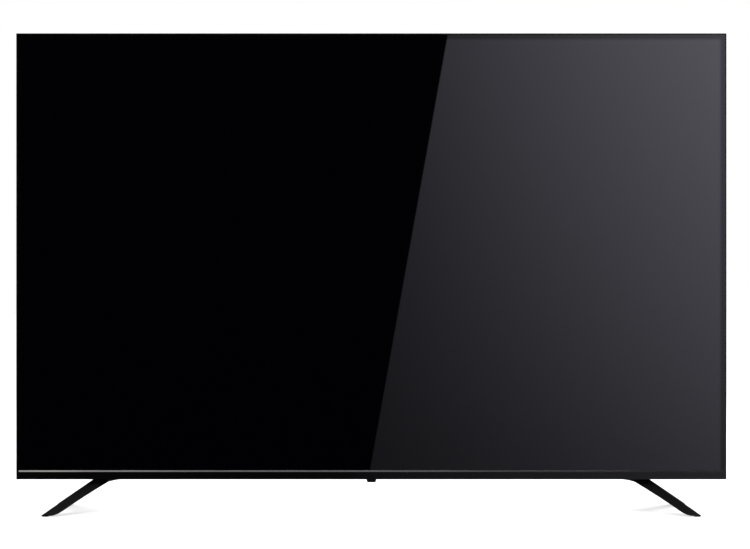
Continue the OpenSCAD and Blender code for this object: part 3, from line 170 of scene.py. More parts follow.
class Bench:
    """A node tree that is filled through one method."""

    def __init__(self, tree: bpy.types.NodeTree) -> None:
        """Keeps the tree."""
        self.tree = tree

    def node(self, kind: str, settings: Mapping[str, object] | None = None,
             inputs: Inputs | None = None) -> bpy.types.Node:
        """Adds a node.

        Args:
            kind: The node's type.
            settings: Its own settings, set first; stops are those of a colour ramp.
            inputs: Values or wires for its sockets, by identifier, name or place.

        Returns:
            The new node.
        """
        node = self.tree.nodes.new(kind)
        for key, value in (settings or {}).items():
            if key == "stops":
                self._fill_ramp(node.color_ramp, value)
            else:
                setattr(node, key, value)
        for key, value in (inputs or {}).items():
            self._feed(self._socket(node.inputs, key), value)
        return node

    def wire(self, node: bpy.types.Node, output: str | int = 0) -> Wire:
        """One output of a node, by its identifier, name or place."""
        return Wire(self, self._socket(node.outputs, output))

    def _feed(self, socket: bpy.types.NodeSocket, value: Feed) -> None:
        """Links or sets one input.

        Args:
            socket: The input.
            value: A wire, several wires or a plain value.
        """
        wires = value if isinstance(value, list) else [value]
        for wire in wires:
            if isinstance(wire, Wire):
                self.tree.links.new(wire.socket, socket)
            else:
                socket.default_value = value

    @staticmethod
    def _socket(sockets: Sequence[bpy.types.NodeSocket], key: str | int) -> bpy.types.NodeSocket:
        """Finds a socket.

        Args:
            sockets: A node's inputs or outputs.
            key: Identifier, name or place.

        Returns:
            The socket.
        """
        if isinstance(key, int):
            return sockets[key]
        named = [s for s in sockets if s.identifier == key] or [s for s in sockets if s.name == key]
        return named[0]

    @staticmethod
    def _fill_ramp(ramp: bpy.types.ColorRamp, stops: Sequence[tuple[float, Colour]]) -> None:
        """Sets the stops of a colour ramp.

        Args:
            ramp: The ramp.
            stops: Place and colour of each stop, in order.
        """
        while len(ramp.elements) < len(stops):
            ramp.elements.new(1.0)
        for element, (place, colour) in zip(ramp.elements, stops):
            element.position = place
            element.color = (*colour, 1.0)


class Sheet(Bench):
    """The nodes of one finish, with a single shader at their end."""

    def __init__(self, name: str) -> None:
        """Makes an empty material.

        Args:
            name: Its name.
        """
        self.material = bpy.data.materials.new(name)
        self.material.use_nodes = True
        super().__init__(self.material.node_tree)
        self.tree.nodes.clear()
        self.place = self.wire(self.node("ShaderNodeTexCoord"), "Object")

    def end(self, shader: bpy.types.Node) -> bpy.types.Material:
        """The finished material, with this shader at its end."""
        self.node("ShaderNodeOutputMaterial", None, {"Surface": self.wire(shader)})
        return self.material

    def dress(self, inputs: Inputs) -> bpy.types.Material:
        """The finished material, with a Principled shader that has these inputs."""
        return self.end(self.node("ShaderNodeBsdfPrincipled", None, inputs))

    def along(self, axis: Axis) -> Wire:
        """Distance from the middle of the set along one axis."""
        return self.wire(self.node("ShaderNodeSeparateXYZ", None, {"Vector": self.place}), axis.value)

    def noise(self, scale: float | Point, detail: float = 2.0) -> Wire:
        """Soft random tone from 0 to 1.

        Args:
            scale: Spots to a metre, alike or for each axis.
            detail: Number of finer layers.

        Returns:
            The tone.
        """
        each = scale if isinstance(scale, tuple) else (scale, scale, scale)
        place = self.wire(self.node("ShaderNodeMapping", None, {"Vector": self.place, "Scale": each}))
        spots = {"Vector": place, "Scale": 1.0, "Detail": detail, "Roughness": 0.55}
        return self.wire(self.node("ShaderNodeTexNoise", None, spots), "Fac")

    def cells(self, scale: float, output: str = "Distance") -> Wire:
        """Random cells, so many to a metre: distance from each one's middle, or another output."""
        inputs = {"Vector": self.place, "Scale": scale}
        return self.wire(self.node("ShaderNodeTexVoronoi", None, inputs), output)

    def bands(self, axis: Axis, pitch: float, sway: float = 0.0) -> Wire:
        """Even bands from 0 to 1.

        Args:
            axis: The axis that the bands follow each other along.
            pitch: Distance from band to band.
            sway: How far they wander.

        Returns:
            The tone.
        """
        settings = {"wave_type": "BANDS", "bands_direction": "XYZ"[axis.value], "wave_profile": "SIN"}
        inputs = {"Vector": self.place, "Scale": math.pi / (10 * pitch), "Distortion": sway}
        return self.wire(self.node("ShaderNodeTexWave", settings, inputs), "Fac")

    def blend(self, share: Term, first: Colour | Wire, second: Colour | Wire) -> Wire:
        """Mixes two colours.

        Args:
            share: How much of the second shows.
            first: The colour at 0.
            second: The colour at 1.

        Returns:
            The mixed colour.
        """
        first, second = (c if isinstance(c, Wire) else (*c, 1.0) for c in (first, second))
        inputs = {"Factor_Float": share, "A_Color": first, "B_Color": second}
        return self.wire(self.node("ShaderNodeMix", {"data_type": "RGBA"}, inputs), "Result_Color")

    def bump(self, height: Wire, depth: float) -> Wire:
        """The normal that a tone bends, as relief of that depth."""
        inputs = {"Height": height, "Distance": depth, "Strength": 1.0}
        return self.wire(self.node("ShaderNodeBump", None, inputs))


def tinted(colour: Colour, share: float) -> Colour:
    """A colour made lighter or darker by a share of itself."""
    return tuple(min(1.0, c * (1 + share)) for c in colour)


@dataclass(frozen=True)
class Finish(ABC):
    """A surface finish that is made of nodes."""

    name: str

    @abstractmethod
    def make(self) -> bpy.types.Material:
        """Builds the material."""


@dataclass(frozen=True)
class GrainedPlastic(Finish):
    """Moulded plastic with the fine grain of an etched tool."""

    colour: Colour
    roughness: float = 0.45
    grain: float = 0.0007
    depth: float = 0.00003
    mottle: float = 0.12
    specular: float = 0.5

    def make(self) -> bpy.types.Material:
        """Pebbled grain in relief, with slow changes of tone and gloss.

        Returns:
            The material.
        """
        sheet = Sheet(self.name)
        fine = sheet.noise(1 / self.grain)
        pebble = 1 - sheet.cells(0.6 / self.grain)
        cloud = sheet.noise(5.0, 3.0)
        relief = pebble * 0.7 + fine * 0.3
        dark, light = (tinted(self.colour, share) for share in (-self.mottle, self.mottle))
        return sheet.dress({
            "Base Color": sheet.blend(cloud * 0.4 + relief * 0.6, dark, light),
            "Roughness": (fine - 0.5) * 0.14 + (cloud - 0.5) * 0.08 + self.roughness,
            "Specular IOR Level": self.specular,
            "Normal": sheet.bump(relief, self.depth),
        })


@dataclass(frozen=True)
class DrawnMetal(Finish):
    """Metal with fine lines along the way that it was drawn or brushed."""

    colour: Colour
    run: Axis = Axis.WIDTH
    roughness: float = 0.25
    lines: float = 2600.0
    depth: float = 0.000004
    metal: float = 1.0
    specular: float = 0.5
    stretch: float = 290.0
    contrast: float = 0.1

    def make(self) -> bpy.types.Material:
        """Long thin streaks in tone, gloss and relief.

        Returns:
            The material.
        """
        sheet = Sheet(self.name)
        scale = tuple(self.lines / self.stretch if axis is self.run else self.lines for axis in Axis)
        streak = sheet.noise(scale, 3.0)
        cloud = sheet.noise(7.0)
        dark, light = (tinted(self.colour, share) for share in (-self.contrast, self.contrast))
        return sheet.dress({
            "Base Color": sheet.blend(streak * 0.7 + cloud * 0.3, dark, light),
            "Metallic": self.metal,
            "Roughness": ((streak - 0.5) * 0.55 + (cloud - 0.5) * 0.2 + 1) * self.roughness,
            "Specular IOR Level": self.specular,
            "Normal": sheet.bump(streak, self.depth),
        })


@dataclass(frozen=True)
class SpangledSteel(Finish):
    """Zinc-coated sheet steel with its crystal spangle."""

    colour: Colour
    spangle: float = 0.009
    roughness: float = 0.35

    def make(self) -> bpy.types.Material:
        """Crystals that differ in tone and gloss.

        Returns:
            The material.
        """
        sheet = Sheet(self.name)
        colour = sheet.cells(1 / self.spangle, "Color")
        crystal = sheet.wire(sheet.node("ShaderNodeSeparateColor", None, {"Color": colour}))
        scratch = sheet.noise((40.0, 40.0, 1500.0), 2.0)
        return sheet.dress({
            "Base Color": sheet.blend(crystal, tinted(self.colour, -0.16), tinted(self.colour, 0.1)),
            "Metallic": 1.0,
            "Roughness": crystal * 0.14 + (scratch - 0.5) * 0.08 + (self.roughness - 0.07),
            "Normal": sheet.bump(scratch, 0.000004),
        })


@dataclass(frozen=True)
class CircuitLacquer(Finish):
    """Lacquered circuit board with tracks below the lacquer and tinned pads."""

    colour: Colour
    track: Colour
    pad: Colour = (0.62, 0.6, 0.56)
    pitch: float = 0.0032

    def make(self) -> bpy.types.Material:
        """Tracks in two directions, swept aside by noise, and a scatter of pads.

        Returns:
            The material.
        """
        sheet = Sheet(self.name)
        zone = sheet.noise(45.0, 1.0)
        level = sheet.bands(Axis.HEIGHT, self.pitch, 0.4).smooth(0.62, 0.7)
        upright = sheet.bands(Axis.WIDTH, self.pitch * 1.3, 0.4).smooth(0.62, 0.7)
        swap = zone.smooth(0.48, 0.5)
        tracks = level * swap + upright * (1 - swap)
        pads = 1 - sheet.cells(1 / (self.pitch * 1.8)).smooth(0.2, 0.24)
        pads = pads * sheet.noise(130.0, 0.0).smooth(0.52, 0.56)
        tone = sheet.blend(tracks, self.colour, self.track)
        return sheet.dress({
            "Base Color": sheet.blend(pads, tone, self.pad),
            "Metallic": pads * 0.9,
            "Roughness": 0.34 - pads * 0.06 + (zone - 0.5) * 0.1,
            "Normal": sheet.bump(tracks * 0.5 + pads, 0.00004),
        })


@dataclass(frozen=True)
class FlexFilm(Finish):
    """Thin film with fine conductors that run along it."""

    colour: Colour
    conductor: Colour
    pitch: float = 0.0006
    roughness: float = 0.3

    def make(self) -> bpy.types.Material:
        """Fine upright lines below a glossy film.

        Returns:
            The material.
        """
        sheet = Sheet(self.name)
        lines = sheet.bands(Axis.WIDTH, self.pitch).smooth(0.45, 0.6)
        cloud = sheet.noise(60.0, 2.0)
        return sheet.dress({
            "Base Color": sheet.blend(lines * 0.8, tinted(self.colour, -0.1), self.conductor),
            "Roughness": (cloud - 0.5) * 0.12 + self.roughness,
            "Normal": sheet.bump(cloud, 0.00006),
        })


@dataclass(frozen=True)
class SoftRubber(Finish):
    """Rubber or foam: matt, dusty and slightly porous."""

    colour: Colour
    pore: float = 0.0009
    depth: float = 0.00008

    def make(self) -> bpy.types.Material:
        """Small pores and a pale bloom.

        Returns:
            The material.
        """
        sheet = Sheet(self.name)
        pores = sheet.cells(1 / self.pore)
        bloom = sheet.noise(90.0, 4.0)
        return sheet.dress({
            "Base Color": sheet.blend(bloom.smooth(0.4, 0.8) * 0.5, self.colour, tinted(self.colour, 1.2)),
            "Roughness": bloom * 0.16 + 0.74,
            "Specular IOR Level": 0.3,
            "Normal": sheet.bump(pores, self.depth),
        })


@dataclass(frozen=True)
class ScreenGlass(Finish):
    """The switched-off picture: deep black behind a smooth polished face, with a dimmer unlit border."""

    half_width: float
    high: float
    border: float = 0.0095
    border_gloss: float = 0.55
    fade: float = 0.004
    cell: float = 0.00037

    def make(self) -> bpy.types.Material:
        """Cells of the picture as faint stripes, and the border by its gloss.

        Returns:
            The material.
        """
        sheet = Sheet(self.name)
        x, z = sheet.along(Axis.WIDTH), sheet.along(Axis.HEIGHT)
        inside = (self.half_width - self.border - abs(x)).smooth(-self.fade, self.fade)
        inside = inside * ((self.high - self.border) - z).smooth(-self.fade, self.fade)
        stripes = sheet.bands(Axis.WIDTH, self.cell)
        haze = sheet.noise(3.0, 3.0)
        black = sheet.blend(stripes, (0.0005, 0.0005, 0.0012), (0.0009, 0.0009, 0.0019))
        return sheet.dress({
            "Base Color": sheet.blend(inside, (0.0012, 0.0012, 0.0013), black),
            "Roughness": haze * 0.1 + 0.5,
            "Specular IOR Level": 0.0,
            "Coat Weight": inside * (1 - self.border_gloss) + self.border_gloss,
            "Coat Roughness": 0.012,
            "Coat IOR": 1.5,
        })


class Palette:
    """All finishes of the set, by the names of the record's material slots."""

    def __init__(self) -> None:
        """Makes each finish once."""
        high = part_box("lcd_panel")[1]
        finishes: tuple[Finish, ...] = (
            ScreenGlass("screen_glass", high.x, high.z),
            DrawnMetal("frame_black", (0.0045, 0.0045, 0.005), Axis.HEIGHT, 0.34, metal=0.0, specular=0.25),
            GrainedPlastic("bezel_black", (0.003, 0.003, 0.0034), 0.2, 0.0005, 0.000004, specular=0.25),
            DrawnMetal("trim_metal", (0.7, 0.69, 0.66), Axis.WIDTH, 0.09, depth=0.000002),
            GrainedPlastic("back_plastic", (0.026, 0.0265, 0.028), 0.52, 0.0009, 0.0002, 0.2, 0.3),
            GrainedPlastic("leg_black", (0.0036, 0.0035, 0.0039), 0.5, 0.0006, 0.00006, 0.2, 0.12),
            SoftRubber("foot_rubber", (0.014, 0.014, 0.014)),
            SpangledSteel("tray_steel", (0.58, 0.59, 0.6)),
            GrainedPlastic("film_white", (0.84, 0.85, 0.86), 0.4, 0.0004, 0.00002, 0.03),
            GrainedPlastic("lens_clear", (0.8, 0.82, 0.86), 0.12, 0.0012, 0.000005, 0.04),
            CircuitLacquer("led_board", (0.8, 0.8, 0.77), (0.68, 0.68, 0.64), pitch=0.004),
            CircuitLacquer("circuit_green", (0.008, 0.075, 0.032), (0.02, 0.14, 0.06)),
            CircuitLacquer("circuit_tan", (0.26, 0.16, 0.06), (0.34, 0.22, 0.09), pitch=0.005),
            GrainedPlastic("chip_black", (0.018, 0.018, 0.019), 0.55, 0.0003, 0.00002),
            DrawnMetal("sink_metal", (0.56, 0.57, 0.58), Axis.HEIGHT, 0.3),
            GrainedPlastic("can_blue", (0.02, 0.036, 0.09), 0.3, 0.0012, 0.00002),
            GrainedPlastic("core_brown", (0.07, 0.045, 0.02), 0.55, 0.0008, 0.00004, 0.25),
            FlexFilm("flex_amber", (0.42, 0.19, 0.035), (0.55, 0.3, 0.08)),
            FlexFilm("lead_pale", (0.72, 0.7, 0.65), (0.78, 0.77, 0.74), 0.0012, 0.42),
            DrawnMetal("shell_metal", (0.6, 0.6, 0.585), Axis.WIDTH, 0.24, 9000.0, 0.000001),
            GrainedPlastic("socket_black", (0.014, 0.014, 0.015), 0.42, 0.0004, 0.00001),
            DrawnMetal("fastener_dark", (0.05, 0.05, 0.053), Axis.DEPTH, 0.36, 900.0),
            DrawnMetal("fastener_zinc", (0.34, 0.34, 0.33), Axis.DEPTH, 0.34, 900.0),
            GrainedPlastic("speaker_black", (0.011, 0.011, 0.012), 0.6, 0.0008, 0.00005),
            SoftRubber("foam_grey", (0.045, 0.045, 0.047), 0.0006, 0.0001),
            GrainedPlastic("window_dark", (0.004, 0.0016, 0.0018), 0.08, 0.004, 0.000002),
        )
        self.materials = {finish.name: finish.make() for finish in finishes}
        self.slots = {part["node"]: part["material_slot"] for part in frame["record"]["subparts"]}

    def of_node(self, node: str) -> bpy.types.Material:
        """The finish that the record gives a node."""
        return self.materials[self.slots[node]]

    def dress(self, *nodes: str) -> None:
        """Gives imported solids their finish.

        Args:
            nodes: Names of the solids.
        """
        for node in nodes:
            solid = frame["nodes"][node]
            if not solid.data.materials:
                solid.data.materials.append(None)
            for place in solid.material_slots:
                place.link = "OBJECT"
                place.material = self.of_node(node)


def carrier_of(mesh: bpy.types.Mesh) -> bpy.types.Object:
    """An object that carries a mesh while modifiers work on it.

    Args:
        mesh: The mesh.

    Returns:
        The object, in the scene.
    """
    carrier = bpy.data.objects.new(mesh.name, mesh)
    bpy.context.scene.collection.objects.link(carrier)
    return carrier


def plain_mesh(carrier: bpy.types.Object, name: str) -> bpy.types.Mesh:
    """The mesh that an object has with its modifiers, as a mesh of its own.

    Args:
        carrier: The object, which is removed.
        name: The new mesh's name.

    Returns:
        The plain mesh.
    """
    graph = bpy.context.evaluated_depsgraph_get()
    mesh = bpy.data.meshes.new_from_object(carrier.evaluated_get(graph), depsgraph=graph)
    bpy.data.objects.remove(carrier)
    mesh.name = name
    return mesh


class FormTree(Bench):
    """A Geometry Nodes tree with named inputs, which is run once and leaves a plain mesh."""

    def __init__(self, name: str) -> None:
        """Makes an empty tree.

        Args:
            name: Its name.
        """
        super().__init__(bpy.data.node_groups.new(name, "GeometryNodeTree"))
        self.name = name
        self.values: dict[str, object] = {}
        interface = self.tree.interface
        interface.new_socket("Geometry", in_out="OUTPUT", socket_type="NodeSocketGeometry")
        interface.new_socket("Places", in_out="INPUT", socket_type="NodeSocketGeometry")
        self.start = self.tree.nodes.new("NodeGroupInput")
        self.places = self.wire(self.start, "Places")

    def given(self, name: str, value: float | int | Point | bpy.types.Material) -> Wire:
        """Adds a named input.

        Args:
            name: What the input is.
            value: What it is set to.

        Returns:
            The input as a wire.
        """
        kinds = {float: "NodeSocketFloat", int: "NodeSocketInt", tuple: "NodeSocketVector"}
        kind = kinds.get(type(value), "NodeSocketMaterial")
        socket = self.tree.interface.new_socket(name, in_out="INPUT", socket_type=kind)
        self.values[socket.identifier] = value
        return self.wire(self.start, socket.identifier)

    def vector(self, x: Term, y: Term, z: Term) -> Wire:
        """A vector of three values."""
        return self.wire(self.node("ShaderNodeCombineXYZ", None, {0: x, 1: y, 2: z}))

    def block(self, x: Term, y: Term, z: Term) -> Wire:
        """A block of that size round the origin."""
        return self.wire(self.node("GeometryNodeMeshCube", None, {"Size": self.vector(x, y, z)}))

    def moved(self, form: Wire, up: Term = 0.0, turn: Point = (0.0, 0.0, 0.0)) -> Wire:
        """A form that is turned about each axis and then lifted."""
        inputs = {"Geometry": form, "Translation": self.vector(0.0, 0.0, up), "Rotation": turn}
        return self.wire(self.node("GeometryNodeTransform", None, inputs))

    def joined(self, *forms: Wire) -> Wire:
        """Several forms as one."""
        return self.wire(self.node("GeometryNodeJoinGeometry", None, {0: list(forms)}))

    def cut(self, form: Wire, *cutters: Wire) -> Wire:
        """A form less its cutters.

        Args:
            form: What is cut.
            cutters: What is taken away.

        Returns:
            The cut geometry.
        """
        inputs = {"Mesh 1": form, "Mesh 2": list(cutters)}
        settings = {"operation": "DIFFERENCE", "solver": "EXACT"}
        return self.wire(self.node("GeometryNodeMeshBoolean", settings, inputs), "Mesh")

    def row(self, count: Term, start: Wire, step: Wire) -> Wire:
        """Points in a straight row: how many, the first one, and the way from each to the next."""
        inputs = {"Count": count, "Start Location": start, "Offset": step}
        return self.wire(self.node("GeometryNodeMeshLine", {"mode": "OFFSET"}, inputs))

    def repeated(self, points: Wire, form: Wire, facing: Point = (0.0, 0.0, 0.0)) -> Wire:
        """The form at each point.

        Args:
            points: Where it goes.
            form: What goes there.
            facing: Turn of each one.

        Returns:
            The forms as real geometry.
        """
        inputs = {"Points": points, "Instance": form, "Rotation": facing}
        copies = self.wire(self.node("GeometryNodeInstanceOnPoints", None, inputs))
        return self.wire(self.node("GeometryNodeRealizeInstances", None, {"Geometry": copies}))

    def made(self, form: Wire, finish: bpy.types.Material, places: Sequence[Point]) -> bpy.types.Mesh:
        """Ends the tree and runs it.

        Args:
            form: The geometry to end with.
            finish: Its material.
            places: The points that the tree repeats its form at.

        Returns:
            The plain mesh.
        """
        whole = self.wire(self.node("GeometryNodeRealizeInstances", None, {"Geometry": form}))
        inputs = {"Geometry": whole, "Material": self.given("Finish", finish)}
        dressed = self.wire(self.node("GeometryNodeSetMaterial", None, inputs))
        self.node("NodeGroupOutput", None, {0: dressed})
        points = bpy.data.meshes.new(self.name)
        points.from_pydata([tuple(p) for p in places], [], [])
        carrier = carrier_of(points)
        modifier = carrier.modifiers.new("form", "NODES")
        modifier.node_group = self.tree
        for key, value in self.values.items():
            modifier[key] = value
        return plain_mesh(carrier, self.name)


def loose_boxes(node: str) -> list[Box]:
    """The box of each separate solid of a node.

    Args:
        node: The node.

    Returns:
        Lowest and highest corner of each solid.
    """
    form = bmesh.new()
    form.from_mesh(frame["nodes"][node].data)
    bmesh.ops.remove_doubles(form, verts=form.verts, dist=WELD)
    left, boxes = set(form.verts), []
    while left:
        group, waiting = set(), [left.pop()]
        while waiting:
            corner = waiting.pop()
            group.add(corner)
            near = {ridge.other_vert(corner) for ridge in corner.link_edges} & left
            left -= near
            waiting.extend(near)
        corners = list(zip(*(corner.co[:] for corner in group)))
        boxes.append((tuple(map(min, corners)), tuple(map(max, corners))))
    form.free()
    return boxes


@dataclass(frozen=True)
class Rounding:
    """How the sharp outer edges of a moulded or drawn piece are rounded.

    All widths shrink to fit the closest edges, unless a least length leaves out the rims of small holes.

    Attributes:
        width: Width of the rounding.
        segments: Steps across it.
        sharp: Degrees between two faces, above which their edge is taken.
        least: Least length of an edge that is taken.
        below: Greatest height of an edge that is taken.
        back_only: Whether both faces have to look backward.
        crease: Degrees above which an edge of the result still looks sharp.
    """

    width: float
    segments: int = 3
    sharp: float = 32.0
    least: float = 0.0
    below: float = math.inf
    back_only: bool = False
    crease: float = 34.0

    def takes(self, ridge: bmesh.types.BMEdge) -> bool:
        """Whether an edge is one of those that are rounded.

        Args:
            ridge: The edge.

        Returns:
            True for a sharp outer edge that is long and low enough and looks the right way.
        """
        height = sum(corner.co.z for corner in ridge.verts) / 2
        sharp = ridge.is_convex and ridge.calc_face_angle(0.0) > math.radians(self.sharp)
        in_reach = ridge.calc_length() >= self.least and height <= self.below
        in_view = not self.back_only or all(face.normal.y > BACKWARD for face in ridge.link_faces)
        return sharp and in_reach and in_view

    def mesh(self, node: str, name: str) -> bpy.types.Mesh:
        """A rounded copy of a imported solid.

        Args:
            node: The solid.
            name: The new mesh's name.

        Returns:
            The plain mesh.
        """
        form = bmesh.new()
        form.from_mesh(frame["nodes"][node].data)
        bmesh.ops.remove_doubles(form, verts=form.verts, dist=MERGE)
        bmesh.ops.dissolve_limit(form, angle_limit=FLAT, verts=form.verts, edges=form.edges)
        form.normal_update()
        form.verts.index_update()
        ridges = [ridge for ridge in form.edges if self.takes(ridge)]
        taken = {frozenset(corner.index for corner in ridge.verts) for ridge in ridges}
        faces = [[corner.index for corner in face.verts] for face in form.faces]
        mesh = bpy.data.meshes.new(name + "_form")
        mesh.from_pydata([corner.co[:] for corner in form.verts], [], faces)
        form.free()
        mesh.shade_smooth()
        weights = mesh.attributes.new("bevel_weight_edge", "FLOAT", "EDGE")
        for ridge in mesh.edges:
            weights.data[ridge.index].value = float(frozenset(ridge.vertices) in taken)
        carrier = carrier_of(mesh)
        bevel = carrier.modifiers.new("rounding", "BEVEL")
        bevel.limit_method = "WEIGHT"
        bevel.width = self.width
        bevel.segments = self.segments
        bevel.use_clamp_overlap = self.least == 0.0
        mesh = plain_mesh(carrier, name)
        mesh.set_sharp_from_angle(angle=math.radians(self.crease))
        carrier = carrier_of(mesh)
        normals = carrier.modifiers.new("normals", "WEIGHTED_NORMAL")
        normals.weight = 100
        normals.keep_sharp = True
        return plain_mesh(carrier, name)


@dataclass(frozen=True)
class CrossScrews:
    """Screws with a domed head and a cross recess, all alike; the shares are of the head's size."""

    head_r: float
    head_h: float
    shank_r: float
    shank_len: float
    facing: Facing
    crown: float = 0.3
    slot_len: float = 1.1
    slot_width: float = 0.26
    slot_lift: float = 0.62

    def seats(self, node: str) -> list[Point]:
        """Where the heads of a node's screws sit.

        Args:
            node: The screws.

        Returns:
            Middle of each head's seat.
        """
        seats = []
        for low, high in loose_boxes(node):
            x, y, z = ((a + b) / 2 for a, b in zip(low, high))
            if self.facing is Facing.BACK:
                seats.append((x, high[1] - self.head_h, z))
            else:
                seats.append((x, y, low[2] + self.head_h))
        return seats

    def mesh(self, name: str, finish: bpy.types.Material, seats: Sequence[Point]) -> bpy.types.Mesh:
        """Builds the screws.

        Args:
            name: Name of the tree and mesh.
            finish: Their material.
            seats: Middle of each head's seat.

        Returns:
            All the screws as one mesh.
        """
        tree = FormTree(name)
        head_r = tree.given("Head radius", self.head_r)
        head_h = tree.given("Head height", self.head_h)
        shank_r = tree.given("Shank radius", self.shank_r)
        shank_len = tree.given("Shank length", self.shank_len)
        crown = tree.given("Crown share", self.crown)
        disc = {"Vertices": 28, "Side Segments": 3, "Fill Segments": 5, "Radius": head_r, "Depth": head_h}
        head = tree.wire(tree.node("GeometryNodeMeshCylinder", {"fill_type": "TRIANGLE_FAN"}, disc), "Mesh")
        position = tree.wire(tree.node("GeometryNodeInputPosition"))
        place = tree.node("ShaderNodeSeparateXYZ", None, {0: position})
        x, y, z = (tree.wire(place, axis.value) for axis in Axis)
        fall = (x * x + y * y) / (head_r * head_r) * crown * head_h * (z > head_h * 0.1)
        inputs = {"Geometry": head, "Offset": tree.vector(0.0, 0.0, 0.0 - fall)}
        head = tree.wire(tree.node("GeometryNodeSetPosition", None, inputs))
        lift = head_h * self.slot_lift
        long, short = head_r * self.slot_len, head_r * self.slot_width
        arms = [tree.moved(tree.block(a, b, head_h), lift) for a, b in ((long, short), (short, long))]
        head = tree.moved(tree.cut(head, *arms), head_h * 0.5)
        rod = {"Vertices": 16, "Radius": shank_r, "Depth": shank_len}
        shank = tree.wire(tree.node("GeometryNodeMeshCylinder", None, rod), "Mesh")
        screw = tree.joined(head, tree.moved(shank, shank_len * -0.5))
        return tree.made(tree.repeated(tree.places, screw, self.facing.value), finish, seats)


@dataclass
class SubAssembly(ABC):
    """A group of pieces that are built and dressed together."""

    palette: Palette
    pieces: list[bpy.types.Object] = field(default_factory=list)

    @abstractmethod
    def build(self) -> None:
        """Builds the meshes and dresses them."""

    def add(self, name: str, mesh: bpy.types.Mesh, slot: str, body: Body = Body.SET,
            stands_for: Sequence[str] = ()) -> None:
        """Puts a finished mesh on the set.

        Args:
            name: The piece's name.
            mesh: Its mesh, already in place.
            slot: The material slot it takes its finish from.
            body: What it moves with.
            stands_for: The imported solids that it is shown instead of.
        """
        piece = bpy.data.objects.new(name, mesh)
        bpy.context.scene.collection.objects.link(piece)
        mesh.materials.clear()
        mesh.materials.append(self.palette.materials[slot])
        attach(piece, body.value)
        if stands_for:
            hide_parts(*stands_for)
        self.pieces.append(piece)

    def soften(self, node: str, rounding: Rounding, body: Body = Body.SET) -> None:
        """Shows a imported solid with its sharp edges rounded, moving with a body."""
        name = node + "_rounded"
        self.add(name, rounding.mesh(node, name), self.palette.slots[node], body, [node])

    def add_screws(self, name: str, node: str, screw: CrossScrews) -> None:
        """Screws with cross recesses, seated where a node's plain ones are and shown instead of them."""
        mesh = screw.mesh(name, self.palette.of_node(node), screw.seats(node))
        self.add(name, mesh, self.palette.slots[node], stands_for=[node])


@dataclass
class PlainGroup(SubAssembly):
    """Pieces whose solids have their real shapes already."""

    nodes: tuple[str, ...] = ()

    def build(self) -> None:
        """Dresses the solids."""
        self.palette.dress(*self.nodes)


@dataclass
class ScreenModule(PlainGroup):
    """The picture, its films and the backlight."""

    nodes: tuple[str, ...] = (
        "lcd_panel", "panel_tape", "mid_frame", "optical_films", "diffuser_plate", "diffuser_supports",
        "reflector_sheet", "led_bars", "led_lenses", "rear_tray",
    )


@dataclass
class FrontFrame(SubAssembly):
    """Rails, lower bezel and bright strip."""

    rail_edge: Rounding = Rounding(0.00025)
    bezel_edge: Rounding = Rounding(0.0002)
    strip_edge: Rounding = Rounding(0.00003, sharp=15.0)

    def build(self) -> None:
        """Rounds the edges that the light catches."""
        self.palette.dress("corner_keys")
        for rail in ("top_rail", "left_rail", "right_rail"):
            self.soften(rail, self.rail_edge)
        self.soften("bottom_bezel", self.bezel_edge)
        self.soften("trim_strip", self.strip_edge)


@dataclass
class BackShell(SubAssembly):
    """Back panel, rear cover, their screws and the wall mount."""

    shell_edge: Rounding = Rounding(0.002, 4, least=0.03, back_only=True)
    bush_edge: Rounding = Rounding(0.0004)
    screw: CrossScrews = CrossScrews(0.0028, 0.002, 0.0015, 0.006, Facing.BACK)
    mount_rise: float = 0.3
    thread_pitch: float = 0.001
    thread_r: float = 0.003
    thread_len: float = 0.027
    thread_inset: float = 0.001
    ridge_share: float = 0.42

    def build(self) -> None:
        """Rounds the shells and adds the screws and the mount's threads."""
        self.palette.dress("cover_posts")
        self.soften("back_panel", self.shell_edge)
        self.soften("rear_cover", self.shell_edge)
        self.soften("vesa_bushes", self.bush_edge)
        self.add_screws("back_screw_heads", "back_screws", self.screw)
        self.add_threads()

    def add_threads(self) -> None:
        """A thread that winds down each bore of the wall mount."""
        tree = FormTree("mount_threads")
        pitch = tree.given("Pitch", self.thread_pitch)
        bore = tree.given("Bore radius", self.thread_r)
        length = tree.given("Length", self.thread_len)
        turns = {"Resolution": 16, "Rotations": length / pitch, "Height": length}
        radii = {"Start Radius": bore, "End Radius": bore}
        path = tree.wire(tree.node("GeometryNodeCurveSpiral", None, turns | radii))
        corner = {"Resolution": 3, "Radius": pitch * self.ridge_share}
        ridge = tree.wire(tree.node("GeometryNodeCurvePrimitiveCircle", {"mode": "RADIUS"}, corner))
        sweep = {"Curve": path, "Profile Curve": ridge, "Fill Caps": True}
        thread = tree.wire(tree.node("GeometryNodeCurveToMesh", None, sweep))
        thread = tree.moved(thread, turn=Facing.BACK.value)
        low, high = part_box("vesa_bushes")
        radius = (high.z - low.z - self.mount_rise) / 2
        y = high.y - self.thread_len - self.thread_inset
        sides = (low.x + radius, high.x - radius)
        heights = (low.z + radius, high.z - radius)
        places = [(x, y, z) for x in sides for z in heights]
        mesh = tree.made(tree.repeated(tree.places, thread), self.palette.of_node("vesa_bushes"), places)
        self.add("mount_threads", mesh, self.palette.slots["vesa_bushes"])


